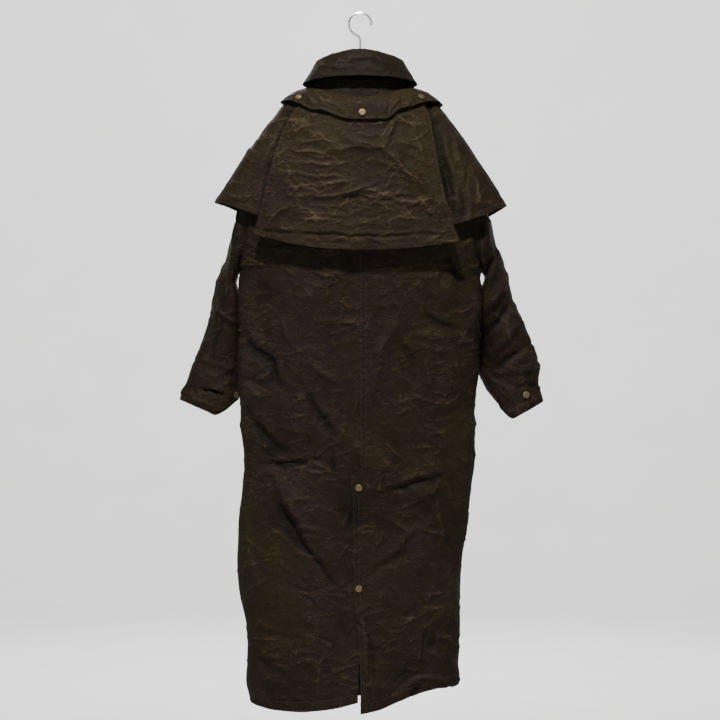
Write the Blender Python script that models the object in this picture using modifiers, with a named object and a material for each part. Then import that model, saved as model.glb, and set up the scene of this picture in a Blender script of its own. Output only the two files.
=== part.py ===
"""Full-length waxed cotton duster coat with a shoulder cape, hung on a plain hanger.

Metres, +Z up. The origin is the inside top of the hanger's hook. The coat's front faces -Y,
its back faces +Y, and the wearer's left is +X. Every cloth piece is one wall, thickened to one
side of its points, and pieces that meet at a seam keep a small gap.
"""
import math

import bmesh
import bpy
import numpy as np
from mathutils import Vector

# Cloth and seams
CLOTH = 0.002
SEAM_GAP = 0.0003
HALF_SEAM = SEAM_GAP / 2
LEFT, RIGHT = 1, -1
BACK, FRONT = 1, -1

# Neck and shoulders
NECK_HALF_WIDTH = 0.085
NECK_DEPTH = 0.062
NECK_SIDE_HEIGHT = -0.156
NECK_DROP = {BACK: 0.024, FRONT: 0.066}
SHOULDER_TIP = 0.162
SHOULDER_SLOPE = 0.50
SHOULDER_BEND_START = 0.130
SHOULDER_BEND = 12.0
SEAM_TURN = 0.005

# Armholes
ARMHOLE_MIDDLE = -0.370
UNDERARM = -0.540
ARMHOLE_HALF_DEPTH = 0.050
UNDERARM_Y = 0.010
UNDERARM_TURN = 0.05
ARMHOLE_POWER = 0.9
ARMHOLE_EDGE_SHARE = 0.75

# Body sections, one row for each level: half widths, depths behind and before the middle
BODY_COLUMNS = ("level", "left", "right", "back", "front")
BODY_SECTIONS = (
    (-0.370, 0.226, 0.226, 0.086, 0.078),
    (-0.450, 0.241, 0.241, 0.086, 0.078),
    (-0.540, 0.250, 0.250, 0.083, 0.074),
    (-0.650, 0.254, 0.254, 0.078, 0.070),
    (-0.750, 0.256, 0.252, 0.074, 0.066),
    (-0.820, 0.254, 0.243, 0.071, 0.062),
    (-0.888, 0.250, 0.243, 0.068, 0.060),
    (-0.937, 0.245, 0.243, 0.066, 0.058),
    (-1.035, 0.250, 0.232, 0.064, 0.057),
    (-1.133, 0.256, 0.221, 0.063, 0.057),
    (-1.206, 0.259, 0.209, 0.063, 0.058),
    (-1.280, 0.242, 0.209, 0.064, 0.059),
    (-1.359, 0.237, 0.212, 0.066, 0.060),
    (-1.412, 0.243, 0.199, 0.067, 0.061),
    (-1.450, 0.230, 0.193, 0.068, 0.061),
)
SECTION_ROUNDNESS = 2.4
SECTION_POWER = 0.62

# Hem heights against the distance from the centre, for the two back and two front panels
HEM_HEIGHTS = {
    (LEFT, BACK): ((0.00, -1.457), (0.05, -1.470), (0.17, -1.476), (0.20, -1.472), (0.26, -1.452)),
    (RIGHT, BACK): ((0.00, -1.482), (0.04, -1.473), (0.08, -1.456), (0.16, -1.430), (0.26, -1.418)),
    (LEFT, FRONT): ((0.00, -1.462), (0.15, -1.465), (0.26, -1.450)),
    (RIGHT, FRONT): ((0.00, -1.455), (0.15, -1.440), (0.26, -1.418)),
}

# Rows down a body panel, and columns from its centre edge to its outer edge
YOKE_ROWS = (0.0, 0.06, 0.16, 0.32, 0.54, 0.78, 1.0)
ARMHOLE_LEVELS = (-0.420, -0.468, -0.510, -0.540)
SKIRT_LEVELS = (-0.600, -0.680, -0.760, -0.840, -0.900, -0.950, -0.966, -0.978, -1.035,
                -1.100, -1.165, -1.235, -1.305, -1.370, -1.425)
SECTION_STEPS = (0.0, 0.10, 0.22, 0.35, 0.48, 0.61, 0.73, 0.83, 0.91, 0.97, 1.0)
NECK_STEPS = 4
SIDE_FACE = 0.006
NECK_RISE_POWER = 0.8
NECK_TURN_DROP = 0.004

# Back vent and front lap
VENT_TOP = -0.972
VENT_LAP = 0.015
VENT_UNDERLAP = 0.026
UNDERLAP_FADE_START = -1.25
UNDERLAP_FADE_END = -1.40
UNDERLAP_FOOT = 0.004
VENT_RAISE_START = -0.900
VENT_RAISE_END = -0.960
VENT_PARTING = ((-1.50, -0.001), (-1.42, -0.001), (-1.34, 0.003), (-1.27, 0.006), (-1.22, 0.015))
FRONT_LAP = 0.030
LAP_LIFT = 0.0034
LAP_DROP = 0.0010
LAP_FLAT = 0.030
LAP_REACH = 0.070

# Largest folds of the body: ends, width and height, outwards when positive
FOLD_COLUMNS = ("x0", "z0", "x1", "z1", "width", "height")
BODY_FOLDS = (
    (0.225, -0.665, 0.150, -0.780, 0.030, -0.006),
    (0.240, -0.825, 0.170, -0.905, 0.034, -0.007),
    (0.110, -0.790, 0.060, -0.900, 0.030, -0.005),
    (0.185, -1.000, 0.080, -1.160, 0.034, 0.006),
    (0.195, -0.950, 0.080, -0.950, 0.026, -0.004),
    (-0.090, -0.695, -0.125, -0.800, 0.030, -0.006),
    (-0.115, -1.015, -0.195, -0.975, 0.030, 0.005),
    (-0.002, -1.120, -0.072, -1.055, 0.026, -0.004),
    (-0.060, -1.230, -0.170, -1.130, 0.036, 0.006),
    (0.060, -1.300, 0.190, -1.240, 0.036, 0.005),
)
FOLD_END_SHARE = 0.12
FOLD_SIDE_FADE = 0.80
FOLD_CENTRE_FADE = (0.01, 0.05)

# Sleeves, one row for each ring: outer and inner points, middle, half depth, drop of the back,
# and how far its middle bows outwards
SLEEVE_COLUMNS = ("outer_x", "outer_z", "inner_x", "inner_z", "middle_y", "half_depth", "drop", "bow")
SLEEVE_RINGS = {
    LEFT: (
        (0.204, -0.272, 0.260, -0.548, 0.002, 0.050, 0.000, 0.024),
        (0.231, -0.345, 0.262, -0.558, -0.006, 0.048, 0.000, 0.020),
        (0.254, -0.415, 0.263, -0.570, -0.015, 0.046, 0.000, 0.013),
        (0.271, -0.470, 0.262, -0.586, -0.024, 0.044, 0.000, 0.007),
        (0.286, -0.521, 0.258, -0.606, -0.032, 0.042, 0.000, 0.003),
        (0.304, -0.570, 0.252, -0.636, -0.039, 0.040, 0.002, 0.000),
        (0.323, -0.628, 0.247, -0.676, -0.044, 0.038, 0.004, 0.000),
        (0.341, -0.697, 0.245, -0.722, -0.047, 0.036, 0.009, 0.000),
        (0.360, -0.752, 0.249, -0.766, -0.049, 0.035, 0.016, 0.000),
        (0.378, -0.793, 0.256, -0.800, -0.050, 0.034, 0.025, 0.000),
        (0.392, -0.820, 0.262, -0.822, -0.050, 0.034, 0.036, 0.000),
    ),
    RIGHT: (
        (0.206, -0.272, 0.260, -0.548, 0.002, 0.050, 0.000, 0.024),
        (0.236, -0.345, 0.262, -0.558, -0.006, 0.048, 0.000, 0.020),
        (0.264, -0.412, 0.263, -0.570, -0.015, 0.046, 0.000, 0.013),
        (0.282, -0.458, 0.262, -0.586, -0.024, 0.044, 0.000, 0.007),
        (0.298, -0.507, 0.258, -0.606, -0.032, 0.042, 0.000, 0.003),
        (0.318, -0.567, 0.252, -0.636, -0.039, 0.041, 0.002, 0.000),
        (0.345, -0.643, 0.247, -0.676, -0.045, 0.040, 0.004, 0.000),
        (0.371, -0.705, 0.247, -0.722, -0.049, 0.038, 0.009, 0.000),
        (0.384, -0.748, 0.253, -0.762, -0.052, 0.037, 0.018, 0.000),
        (0.390, -0.788, 0.268, -0.793, -0.054, 0.036, 0.028, 0.000),
        (0.400, -0.824, 0.286, -0.822, -0.055, 0.036, 0.042, 0.000),
    ),
}
CUFF_LOW_COSINE = -0.35
ARMHOLE_BAND = 0.007
SLEEVE_EVEN_SHARE = 0.65

# Cape rings from the neck to the hem: half widths, side heights, depths and centre heights
CAPE_COLUMNS = ("left", "right", "side_left", "side_right", "back", "z_back", "front", "z_front")
CAPE_RINGS = (
    (0.099, 0.101, -0.1570, -0.1570, 0.079, -0.186, 0.073, -0.222),
    (0.127, 0.131, -0.1710, -0.1730, 0.089, -0.208, 0.081, -0.243),
    (0.158, 0.164, -0.1890, -0.1930, 0.096, -0.236, 0.088, -0.270),
    (0.190, 0.196, -0.2280, -0.2330, 0.101, -0.272, 0.093, -0.306),
    (0.222, 0.226, -0.2720, -0.2750, 0.104, -0.316, 0.097, -0.350),
    (0.252, 0.254, -0.3140, -0.3150, 0.107, -0.366, 0.099, -0.398),
    (0.282, 0.284, -0.3580, -0.3600, 0.109, -0.424, 0.100, -0.446),
    (0.311, 0.313, -0.4015, -0.4090, 0.110, -0.476, 0.100, -0.492),
    (0.326, 0.330, -0.4450, -0.4500, 0.111, -0.507, 0.100, -0.520),
)
CAPE_ROUNDNESS = 2.3
CAPE_HEM_CURVE = {LEFT: 1.5, RIGHT: 1.0}
CAPE_HEM_RING = 7.0
LIFT_RISE = 0.8
LIFT_RISE_RING = 3.0
CAPE_FRONT_GAP = 0.003
CAPE_SIDE_ROWS = (0.0, 0.6, 1.3, 2.1, 3.0, 4.0, 5.0, 6.0, 7.0)
CAPE_SIDE_STEPS = 13
CAPE_LAP = 0.026

# Centre-back cape panel: its two side edges against the ring number
PANEL_EDGES = {
    LEFT: ((0.0, 0.086), (1.15, 0.104), (2.0, 0.128), (3.0, 0.154), (5.0, 0.186), (8.0, 0.222)),
    RIGHT: ((0.0, 0.090), (1.15, 0.114), (2.0, 0.137), (3.0, 0.150), (5.0, 0.166), (8.0, 0.208)),
}
PANEL_ROWS = (1.15, 1.6, 2.2, 3.0, 4.0, 5.0, 6.0, 7.0, 7.6, 8.0)
PANEL_STEPS = 12
PANEL_LIFT = 0.0017
PANEL_EDGE_LIFT = 0.0003

# Largest folds of the centre-back cape panel
CAPE_FOLDS = (
    (-0.047, -0.290, -0.168, -0.417, 0.016, 0.007),
    (0.134, -0.402, 0.205, -0.470, 0.018, 0.005),
    (0.145, -0.396, 0.000, -0.388, 0.014, 0.004),
    (0.060, -0.300, -0.040, -0.270, 0.016, 0.004),
    (0.020, -0.470, 0.120, -0.455, 0.016, 0.004),
)
PANEL_FADE = 0.030

# Neck flap over the cape: how far down the cape rings it reaches, against the angle
FLAP_LIFT = 0.0108
FLAP_SEAM_LIFT = 0.0026
FLAP_LIFT_SHARE = 0.55
FLAP_REACH_COLUMNS = ("degrees", "ring")
FLAP_REACH = (
    (-90, 1.9), (-45, 1.9), (0, 2.05), (28, 1.80), (42, 1.78), (55, 1.86), (66, 1.66), (79, 1.95),
    (90, 2.0), (112, 2.0), (115, 1.62), (145, 1.60), (160, 1.75), (180, 2.1), (225, 1.9), (270, 1.9),
)
FLAP_ROWS = (0.0, 0.28, 0.52, 0.76, 1.0)
FLAP_STEPS = 40
FLAP_START = -86.0
FLAP_SPAN = 352.0

# Neck band and collar
BAND_HALF_WIDTH = 0.094
BAND_DEPTH = {BACK: 0.073, FRONT: 0.067}
BAND_TOP = -0.136
BAND_TOP_DROP = {BACK: 0.012, FRONT: 0.054}
BAND_FOOT_LIFT = 0.0009
BAND_ROWS = (0.0, 0.5, 1.0)
BAND_STEPS = 26
BAND_START = -84.0
BAND_SPAN = 348.0
COLLAR_STEPS = 26
COLLAR_HALF_ANGLE = 168.0
COLLAR_COLUMNS = ("half_width", "back", "front", "z_side", "z_back", "z_front", "back_curve",
                  "front_curve")
COLLAR_RINGS = (
    (0.0815, 0.0574, 0.0566, -0.1560, -0.1820, -0.2240, 1.0, 1.0),
    (0.0810, 0.0590, 0.0580, -0.1300, -0.1310, -0.1960, 1.1, 1.1),
    (0.0790, 0.0600, 0.0620, -0.1040, -0.0920, -0.1700, 1.6, 1.2),
    (0.0820, 0.0640, 0.0670, -0.0960, -0.0825, -0.1620, 1.6, 1.2),
    (0.0890, 0.0720, 0.0740, -0.0975, -0.0830, -0.1640, 1.6, 1.3),
    (0.0985, 0.0800, 0.0820, -0.1110, -0.0960, -0.1800, 1.2, 1.5),
    (0.1110, 0.0880, 0.0900, -0.1320, -0.1190, -0.2050, 0.8, 1.7),
    (0.1230, 0.0940, 0.0960, -0.1510, -0.1410, -0.2290, 0.5, 1.8),
)

# Press studs and cuff tabs
STUD_RADIUS = 0.0074
STUD_HEIGHT = 0.0028
STUD_STEPS = 12
STUD_PROFILE_COLUMNS = ("radius_share", "height_share")
STUD_PROFILE = ((0.0, 1.0), (0.55, 0.93), (0.88, 0.62), (1.0, 0.25), (0.92, 0.0), (0.0, 0.0))
SEAT_REACH = 0.02
PROBE_DEGREES = 0.5
PROBE_SHARE = 0.02
FLAP_STUD_COLUMNS = ("name", "degrees", "share")
FLAP_STUDS = (("stud_flap_left", 33.0, 0.80), ("stud_flap_centre", 91.0, 0.80),
              ("stud_flap_right", 147.0, 0.78))
VENT_STUDS = (("stud_vent_upper", -1.006), ("stud_vent_lower", -1.218))
FRONT_STUDS = (("stud_front_1", -0.560), ("stud_front_2", -0.740), ("stud_front_3", -0.920),
               ("stud_front_4", -1.100))
VENT_STUD_X = 0.0025
TAB_LENGTH_STEPS = 6
TAB_RINGS = (8.75, 9.7)
TAB_ANGLES = {LEFT: (100.0, 158.0), RIGHT: (58.0, 126.0)}
TAB_LIFT = 0.0026
TAB_PROBE_ANGLE = 0.02
TAB_PROBE_RING = 0.05
TAB_STUD_ANGLE = {LEFT: 148.0, RIGHT: 68.0}

# Hanger
WIRE_RADIUS = 0.0025
WIRE_RESOLUTION = 2
HOOK_RADIUS = 0.0240
HOOK_TIP_ANGLE = 186.0
HOOK_END_ANGLE = -68.0
HOOK_ARC_STEPS = 22
HOOK_FOOT_COLUMNS = ("x_share", "drop")
HOOK_FOOT = ((0.35, 0.0035), (0.0, 0.0090))
BAR_RADIUS = 0.006
BAR_HALF_LENGTH = 0.145
BAR_PEAK = -0.115
BAR_NECK_SAG = 0.003
BAR_SEAT_START = 0.105
BAR_RISE_POWER = 1.3
BAR_STEPS = 8
SHAFT_FOOT = -0.1086

SHARP_ANGLE = 50.0
COLOUR_COLUMNS = ("red", "green", "blue", "roughness", "metallic")
COLOURS = {
    "waxed_cotton_body": (0.022, 0.016, 0.012, 0.62, 0.0),
    "waxed_cotton_cape": (0.040, 0.030, 0.020, 0.62, 0.0),
    "waxed_cotton_collar": (0.030, 0.023, 0.016, 0.66, 0.0),
    "brass_stud": (0.32, 0.22, 0.11, 0.35, 1.0),
    "hook_chrome": (0.70, 0.70, 0.70, 0.12, 1.0),
    "hanger_plastic": (0.015, 0.015, 0.015, 0.45, 0.0),
}


def through(pairs, where):
    """Smooth value at `where` of the curve through pairs of (position, value)."""
    points = sorted(pairs)
    spots = np.array([point[0] for point in points])
    values = np.array([point[1] for point in points])
    slopes = np.gradient(values, spots)
    place = min(max(where, spots[0]), spots[-1])
    index = min(int(np.searchsorted(spots, place, side="right")) - 1, len(spots) - 2)
    span = spots[index + 1] - spots[index]
    t = (place - spots[index]) / span
    start, end = values[index], values[index + 1]
    rise_start, rise_end = slopes[index] * span, slopes[index + 1] * span
    return ((2 * t ** 3 - 3 * t ** 2 + 1) * start + (t ** 3 - 2 * t ** 2 + t) * rise_start
            + (3 * t ** 2 - 2 * t ** 3) * end + (t ** 3 - t ** 2) * rise_end)


def column(columns, rows, name, key=None):
    """Pairs of (position, value) for one named column; the position is the key column or the row."""
    index = columns.index(name)
    if key is None:
        return [(number, row[index]) for number, row in enumerate(rows)]
    return [(row[columns.index(key)], row[index]) for row in rows]


def blend(start, end, value):
    """0 before start, 1 after end, smooth between them."""
    t = min(max((value - start) / (end - start), 0.0), 1.0)
    return t * t * (3 - 2 * t)


def body_size(name, level):
    """Half width or depth of the body at a level."""
    return through(column(BODY_COLUMNS, BODY_SECTIONS, name, key="level"), level)


def fold_relief(folds, x, z):
    """Height that a table of folds adds at a point."""
    total = 0.0
    for row in folds:
        fold = dict(zip(FOLD_COLUMNS, row))
        along = Vector((fold["x1"] - fold["x0"], fold["z1"] - fold["z0"]))
        offset = Vector((x - fold["x0"], z - fold["z0"]))
        travel = min(max(offset.dot(along) / along.length ** 2, 0.0), 1.0)
        distance = (offset - along * travel).length
        swell = math.sin(math.pi * (FOLD_END_SHARE + (1 - 2 * FOLD_END_SHARE) * travel))
        total += fold["height"] * swell * math.exp(-(distance / fold["width"]) ** 2)
    return total


def shoulder_height(x):
    """Height of the shoulder seam; it bends down towards the tip."""
    bend = max(x - SHOULDER_BEND_START, 0.0)
    return NECK_SIDE_HEIGHT - SHOULDER_SLOPE * (x - NECK_HALF_WIDTH) - SHOULDER_BEND * bend ** 2


def shoulder_steepness(x):
    """Downward slope of the shoulder seam."""
    return SHOULDER_SLOPE + 2 * SHOULDER_BEND * max(x - SHOULDER_BEND_START, 0.0)


def neck_point(angle, face, inset=0.0):
    """Point on the neckline; angle 0 is the side of the neck and 90 degrees the centre."""
    width = NECK_HALF_WIDTH + inset
    depth = NECK_DEPTH + inset
    height = NECK_SIDE_HEIGHT - NECK_DROP[face] * math.sin(angle) ** 2
    return Vector((width * math.cos(angle), face * max(depth * math.sin(angle), HALF_SEAM), height))


def top_edge(face):
    """Top edge of a left body panel from the centre to the shoulder tip, as points."""
    points = [neck_point(math.radians(90 - 90 * step / NECK_STEPS), face)
              for step in range(NECK_STEPS + 1)]
    count = len(SECTION_STEPS) - len(points)
    for step in range(1, count + 1):
        x = NECK_HALF_WIDTH + (SHOULDER_TIP - NECK_HALF_WIDTH) * step / count
        points.append(Vector((x, face * HALF_SEAM, shoulder_height(x))))
    return points


def armhole_depth(level):
    """Half depth of the armhole at a level."""
    if level >= ARMHOLE_MIDDLE:
        return ARMHOLE_HALF_DEPTH
    fall = (ARMHOLE_MIDDLE - level) / (ARMHOLE_MIDDLE - UNDERARM)
    return ARMHOLE_HALF_DEPTH * math.sqrt(max(1 - fall ** 2, 0.0))


def side_middle(level):
    """Y of the armhole's middle and of the side seam."""
    return UNDERARM_Y * blend(ARMHOLE_MIDDLE + UNDERARM_TURN, UNDERARM, level)


def section_y(face, fraction, level):
    """Y of a body section at a fraction of its half width."""
    depth = body_size("back" if face == BACK else "front", level)
    middle = side_middle(level)
    opening = armhole_depth(level) if level > UNDERARM else 0.0
    edge = max(opening, HALF_SEAM)
    if level <= UNDERARM:
        edge = SIDE_FACE
    power = SECTION_POWER + (ARMHOLE_POWER - SECTION_POWER) * opening / ARMHOLE_HALF_DEPTH
    swell = max(1 - fraction ** SECTION_ROUNDNESS, 0.0) ** power
    middle_share = middle * fraction ** 2
    return middle_share + face * (edge + (depth - edge) * swell)


def centre_edge(side, face, level):
    """X of a panel's centre edge, positive towards the panel's own side."""
    if face == FRONT:
        return -FRONT_LAP
    if level > VENT_TOP:
        return HALF_SEAM
    if side == RIGHT:
        lap = VENT_LAP
        if level < VENT_PARTING[-1][0]:
            lap = through(VENT_PARTING, level)
        return -lap
    fade = blend(UNDERLAP_FADE_START, UNDERLAP_FADE_END, level)
    return UNDERLAP_FOOT * fade - VENT_UNDERLAP * (1 - fade)


def lap_shift(side, face, level, x):
    """Outward shift near the centre edge where one panel laps over the other."""
    over = (face == BACK and side == RIGHT) or (face == FRONT and side == LEFT)
    start = 1.0 if face == FRONT else blend(VENT_RAISE_START, VENT_RAISE_END, level)
    near = 1 - blend(LAP_FLAT, LAP_REACH, abs(x))
    return (LAP_LIFT if over else -LAP_DROP) * start * near


def finish_body_point(side, face, point, level):
    """Mirror a panel point to its side and add the lap's shift and the folds."""
    x = side * point.x
    y = point.y + face * lap_shift(side, face, level, point.x)
    if face == BACK:
        near_side = blend(1.0, FOLD_SIDE_FADE, abs(point.x) / body_size("left", level))
        y += fold_relief(BODY_FOLDS, x, point.z) * near_side * blend(*FOLD_CENTRE_FADE, abs(x))
    return Vector((x, y, point.z))


def skirt_row(side, face, level, hem=False):
    """Row of points across one panel at a level, closed by a narrow face along the side seam."""
    half_width = body_size("left" if side == LEFT else "right", level)
    start = centre_edge(side, face, level)
    row = []
    for step in SECTION_STEPS:
        x = start + (half_width - start) * step
        y = section_y(face, max(x, 0.0) / half_width, level)
        z = through(HEM_HEIGHTS[side, face], max(x, 0.0)) if hem else level
        row.append(finish_body_point(side, face, Vector((x, y, z)), level))
    last = row[-1].copy()
    last.y = side_middle(level) + face * (HALF_SEAM if level <= UNDERARM else armhole_depth(level))
    row.append(last)
    return row


def armhole_row(side, face, level):
    """Row across one panel at an armhole level."""
    row = skirt_row(side, face, level)
    row[-1].x = side * body_size("left" if side == LEFT else "right", level)
    row[-2].x = row[-1].x - side * SIDE_FACE
    row[-2].y = row[-3].y + (row[-1].y - row[-3].y) * ARMHOLE_EDGE_SHARE
    return row


def yoke_rows(side, face):
    """Rows from the neck and shoulder seam down to the middle of the armhole."""
    top = top_edge(face)
    chest = armhole_row(LEFT, face, ARMHOLE_MIDDLE)
    top.append(top[-1].copy())
    top[-2] = Vector((SHOULDER_TIP - SIDE_FACE, top[-1].y, shoulder_height(SHOULDER_TIP - SIDE_FACE)))
    rows = []
    for share in YOKE_ROWS:
        row = []
        for index, (start, end) in enumerate(zip(top, chest)):
            on_shoulder = index >= NECK_STEPS
            base = start.y
            rise = math.sqrt(1 - (1 - share) ** 2) if on_shoulder else share ** NECK_RISE_POWER
            if on_shoulder and share > 0:
                base = face * SEAM_TURN
            x = start.x + (end.x - start.x) * share
            y = base + (end.y - base) * rise
            z = start.z + (end.z - start.z) * share
            row.append(Vector((x, y, z)))
        rows.append(row)
    turned = [Vector((point.x, face * SEAM_TURN if index >= NECK_STEPS else point.y, point.z))
              for index, point in enumerate(rows[0])]
    for index, point in enumerate(turned):
        if index < NECK_STEPS:
            point.z -= NECK_TURN_DROP
    rows.insert(1, turned)
    finished = []
    for row in rows:
        finished.append([finish_body_point(side, face, point, 0.0) for point in row])
    return finished


def body_rows(side, face):
    """All rows of one body panel, from its top edge to its hem."""
    rows = yoke_rows(side, face)
    rows += [armhole_row(side, face, level) for level in ARMHOLE_LEVELS[:-1]]
    rows += [skirt_row(side, face, level) for level in ARMHOLE_LEVELS[-1:] + SKIRT_LEVELS]
    rows.append(skirt_row(side, face, BODY_SECTIONS[-1][0], hem=True))
    return rows


def armhole_loop(side):
    """Points round one armhole, from the shoulder tip down the back and up the front."""
    count = len(YOKE_ROWS) + 1 + len(ARMHOLE_LEVELS)
    back = [row[-1] for row in body_rows(side, BACK)[:count]]
    front = [row[-1] for row in body_rows(side, FRONT)[:count]]
    loop = [(back[0] + front[0]) / 2] + back[1:-1] + [(back[-1] + front[-1]) / 2] + front[-2:0:-1]
    return loop


def drop_share(cosine, sine):
    """Share of a ring's drop: straight from both side edges to a low point behind, reversed in front."""
    if cosine > CUFF_LOW_COSINE:
        share = (1 - cosine) / (1 - CUFF_LOW_COSINE)
    else:
        share = (1 + cosine) / (1 + CUFF_LOW_COSINE)
    return math.copysign(share, sine)


def sleeve_ring(side, number, angle):
    """Point on a sleeve at a ring number and an angle; 0 is the outer edge and 90 the back."""
    rings = SLEEVE_RINGS[side]
    values = {name: through(column(SLEEVE_COLUMNS, rings, name), number) for name in SLEEVE_COLUMNS}
    cosine, sine = math.cos(angle), math.sin(angle)
    middle_x = (values["outer_x"] + values["inner_x"]) / 2
    middle_z = (values["outer_z"] + values["inner_z"]) / 2
    x = middle_x + (values["outer_x"] - values["inner_x"]) / 2 * cosine + values["bow"] * sine ** 2
    z = middle_z + (values["outer_z"] - values["inner_z"]) / 2 * cosine
    z -= values["drop"] * drop_share(cosine, sine)
    y = values["middle_y"] + values["half_depth"] * sine
    return Vector((side * x, y, z))


def cape_values(number):
    """All columns of the cape's table at a ring number."""
    return {name: through(column(CAPE_COLUMNS, CAPE_RINGS, name), number) for name in CAPE_COLUMNS}


def cape_point(number, degrees, lift=0.0):
    """Point on the cape; 0 degrees is the left side, 90 the centre back, 180 the right side."""
    values = cape_values(number)
    angle = math.radians(degrees)
    cosine, sine = math.cos(angle), math.sin(angle)
    side = "left" if cosine >= 0 else "right"
    face = "back" if sine >= 0 else "front"
    half_width = values[side] + lift
    depth = values[face] + lift
    roundness = 2 / CAPE_ROUNDNESS
    x = math.copysign(half_width * abs(cosine) ** roundness, cosine)
    y = math.copysign(depth * abs(sine) ** roundness, sine)
    side_z = values["side_" + side]
    curve = CAPE_HEM_CURVE[LEFT if side == "left" else RIGHT]
    ease = 1 + (curve - 1) * min(number / CAPE_HEM_RING, 1.0)
    z = side_z + (values["z_" + face] - side_z) * (sine * sine) ** ease
    steep = blend(0.0, LIFT_RISE_RING, number)
    return Vector((x, y, z + LIFT_RISE * lift * (1 - steep)))


def cape_degrees(number, x):
    """Angle of the cape's back point at a given x."""
    values = cape_values(number)
    half_width = values["left"] if x >= 0 else values["right"]
    share = min(abs(x) / half_width, 1.0) ** (CAPE_ROUNDNESS / 2)
    angle = math.degrees(math.acos(share))
    return angle if x >= 0 else 180 - angle


def ring_point(size, degrees, z_side, z_back, z_front, curves=(1.0, 1.0)):
    """Point on a plain ring round the neck; size holds the half width, back and front depths."""
    half_width, back, front = size
    angle = math.radians(degrees)
    cosine, sine = math.cos(angle), math.sin(angle)
    y = (back if sine >= 0 else front) * sine
    end = z_back if sine >= 0 else z_front
    share = abs(sine) ** (2 * curves[0 if sine >= 0 else 1])
    return Vector((half_width * cosine, y, z_side + (end - z_side) * share))


def material(name):
    """Principled material from the colour table."""
    colour = dict(zip(COLOUR_COLUMNS, COLOURS[name]))
    made = bpy.data.materials.get(name) or bpy.data.materials.new(name)
    made.use_nodes = True
    shader = made.node_tree.nodes["Principled BSDF"]
    shader.inputs["Base Color"].default_value = (colour["red"], colour["green"], colour["blue"], 1)
    shader.inputs["Roughness"].default_value = colour["roughness"]
    shader.inputs["Metallic"].default_value = colour["metallic"]
    return made


def add_object(name, data, material_name):
    """New object with a material, in the coat's collection."""
    made = bpy.data.objects.new(name, data)
    made.data.materials.append(material(material_name))
    bpy.data.collections["duster_coat"].objects.link(made)
    return made


def cloth_piece(name, rows, material_name, around=False, flip=False):
    """Wall lofted through rows of points; around closes each row and flip turns the wall's side."""
    mesh = bmesh.new()
    grid = [[mesh.verts.new(point) for point in row] for row in rows]
    width = len(grid[0])
    for upper, lower in zip(grid, grid[1:]):
        for index in range(width if around else width - 1):
            after = (index + 1) % width
            corners = [upper[index], upper[after], lower[after], lower[index]]
            mesh.faces.new(corners[::-1] if flip else corners)
    data = bpy.data.meshes.new(name)
    mesh.to_mesh(data)
    mesh.free()
    made = add_object(name, data, material_name)
    wall = made.modifiers.new("wall", "SOLIDIFY")
    wall.thickness = CLOTH
    wall.offset = -1
    data.shade_smooth()
    data.set_sharp_from_angle(angle=math.radians(SHARP_ANGLE))
    return made


def build_body():
    """Two back panels and two front panels."""
    for side, side_name in ((LEFT, "left"), (RIGHT, "right")):
        for face, face_name in ((BACK, "back"), (FRONT, "front")):
            rows = body_rows(side, face)
            cloth_piece(f"{face_name}_{side_name}", rows, "waxed_cotton_body", flip=side * face > 0)


def sleeve_rows(side):
    """Rows of one sleeve, from its armhole loop to its cuff; each row closes on itself."""
    loop = armhole_loop(side)
    steepness = shoulder_steepness(SHOULDER_TIP)
    top = loop[0].z
    rows = []
    for reach in (SEAM_GAP, ARMHOLE_BAND):
        row = []
        for point in loop:
            slope = steepness * (1 - blend(top, ARMHOLE_MIDDLE, point.z))
            away = Vector((side, 0, -slope)).normalized()
            row.append(point + away * reach)
        rows.append(row)
    angles = sleeve_angles(loop, top, UNDERARM)
    for number in range(len(SLEEVE_RINGS[side])):
        rows.append([sleeve_ring(side, number, angle) for angle in angles])
    return rows


def build_sleeves():
    """Two sleeves."""
    for side, side_name in ((LEFT, "left"), (RIGHT, "right")):
        rows = sleeve_rows(side)
        cloth_piece(f"sleeve_{side_name}", rows, "waxed_cotton_body", around=True, flip=side > 0)


def sleeve_angles(loop, top, foot):
    """Angle round the sleeve for each point of the armhole loop, from its height."""
    half = len(loop) // 2
    angles = []
    for index, point in enumerate(loop):
        share = (top - point.z) / (top - foot)
        angle = math.acos(max(min(1 - 2 * share, 1.0), -1.0))
        even = math.pi * index / half if index <= half else math.pi * (2 - index / half)
        angle += (even - angle) * SLEEVE_EVEN_SHARE
        angles.append(angle if index <= half else -angle)
    return angles


def cape_side_rows(side):
    """Rows of one cape side piece, from its lapped back edge round to the front."""
    rows = []
    for number in CAPE_SIDE_ROWS:
        edge = side * (through(PANEL_EDGES[side], number) - CAPE_LAP)
        start = cape_degrees(number, edge)
        end = -90.0 if side == LEFT else 270.0
        row = [cape_point(number, start + (end - start) * (step / CAPE_SIDE_STEPS))
               for step in range(CAPE_SIDE_STEPS + 1)]
        row[-1].x = side * CAPE_FRONT_GAP
        rows.append(row)
    return rows


def cape_back_rows():
    """Rows of the centre-back cape panel."""
    rows = []
    for number in PANEL_ROWS:
        left, right = through(PANEL_EDGES[LEFT], number), -through(PANEL_EDGES[RIGHT], number)
        row = []
        for step in range(PANEL_STEPS + 1):
            share = step / PANEL_STEPS
            x = left + (right - left) * share
            lift = PANEL_LIFT + PANEL_EDGE_LIFT * abs(2 * share - 1) ** 3
            point = cape_point(number, cape_degrees(number, x), lift)
            inside = min(left - x, x - right) / PANEL_FADE
            point.y += fold_relief(CAPE_FOLDS, x, point.z) * blend(0.0, 1.0, inside)
            row.append(point)
        rows.append(row)
    return rows


def build_cape():
    """Two cape side pieces, and the centre-back panel that laps over them."""
    for side, side_name in ((LEFT, "left"), (RIGHT, "right")):
        cloth_piece(f"cape_{side_name}", cape_side_rows(side), "waxed_cotton_cape", flip=side < 0)
    cloth_piece("cape_back", cape_back_rows(), "waxed_cotton_cape", flip=False)


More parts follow.
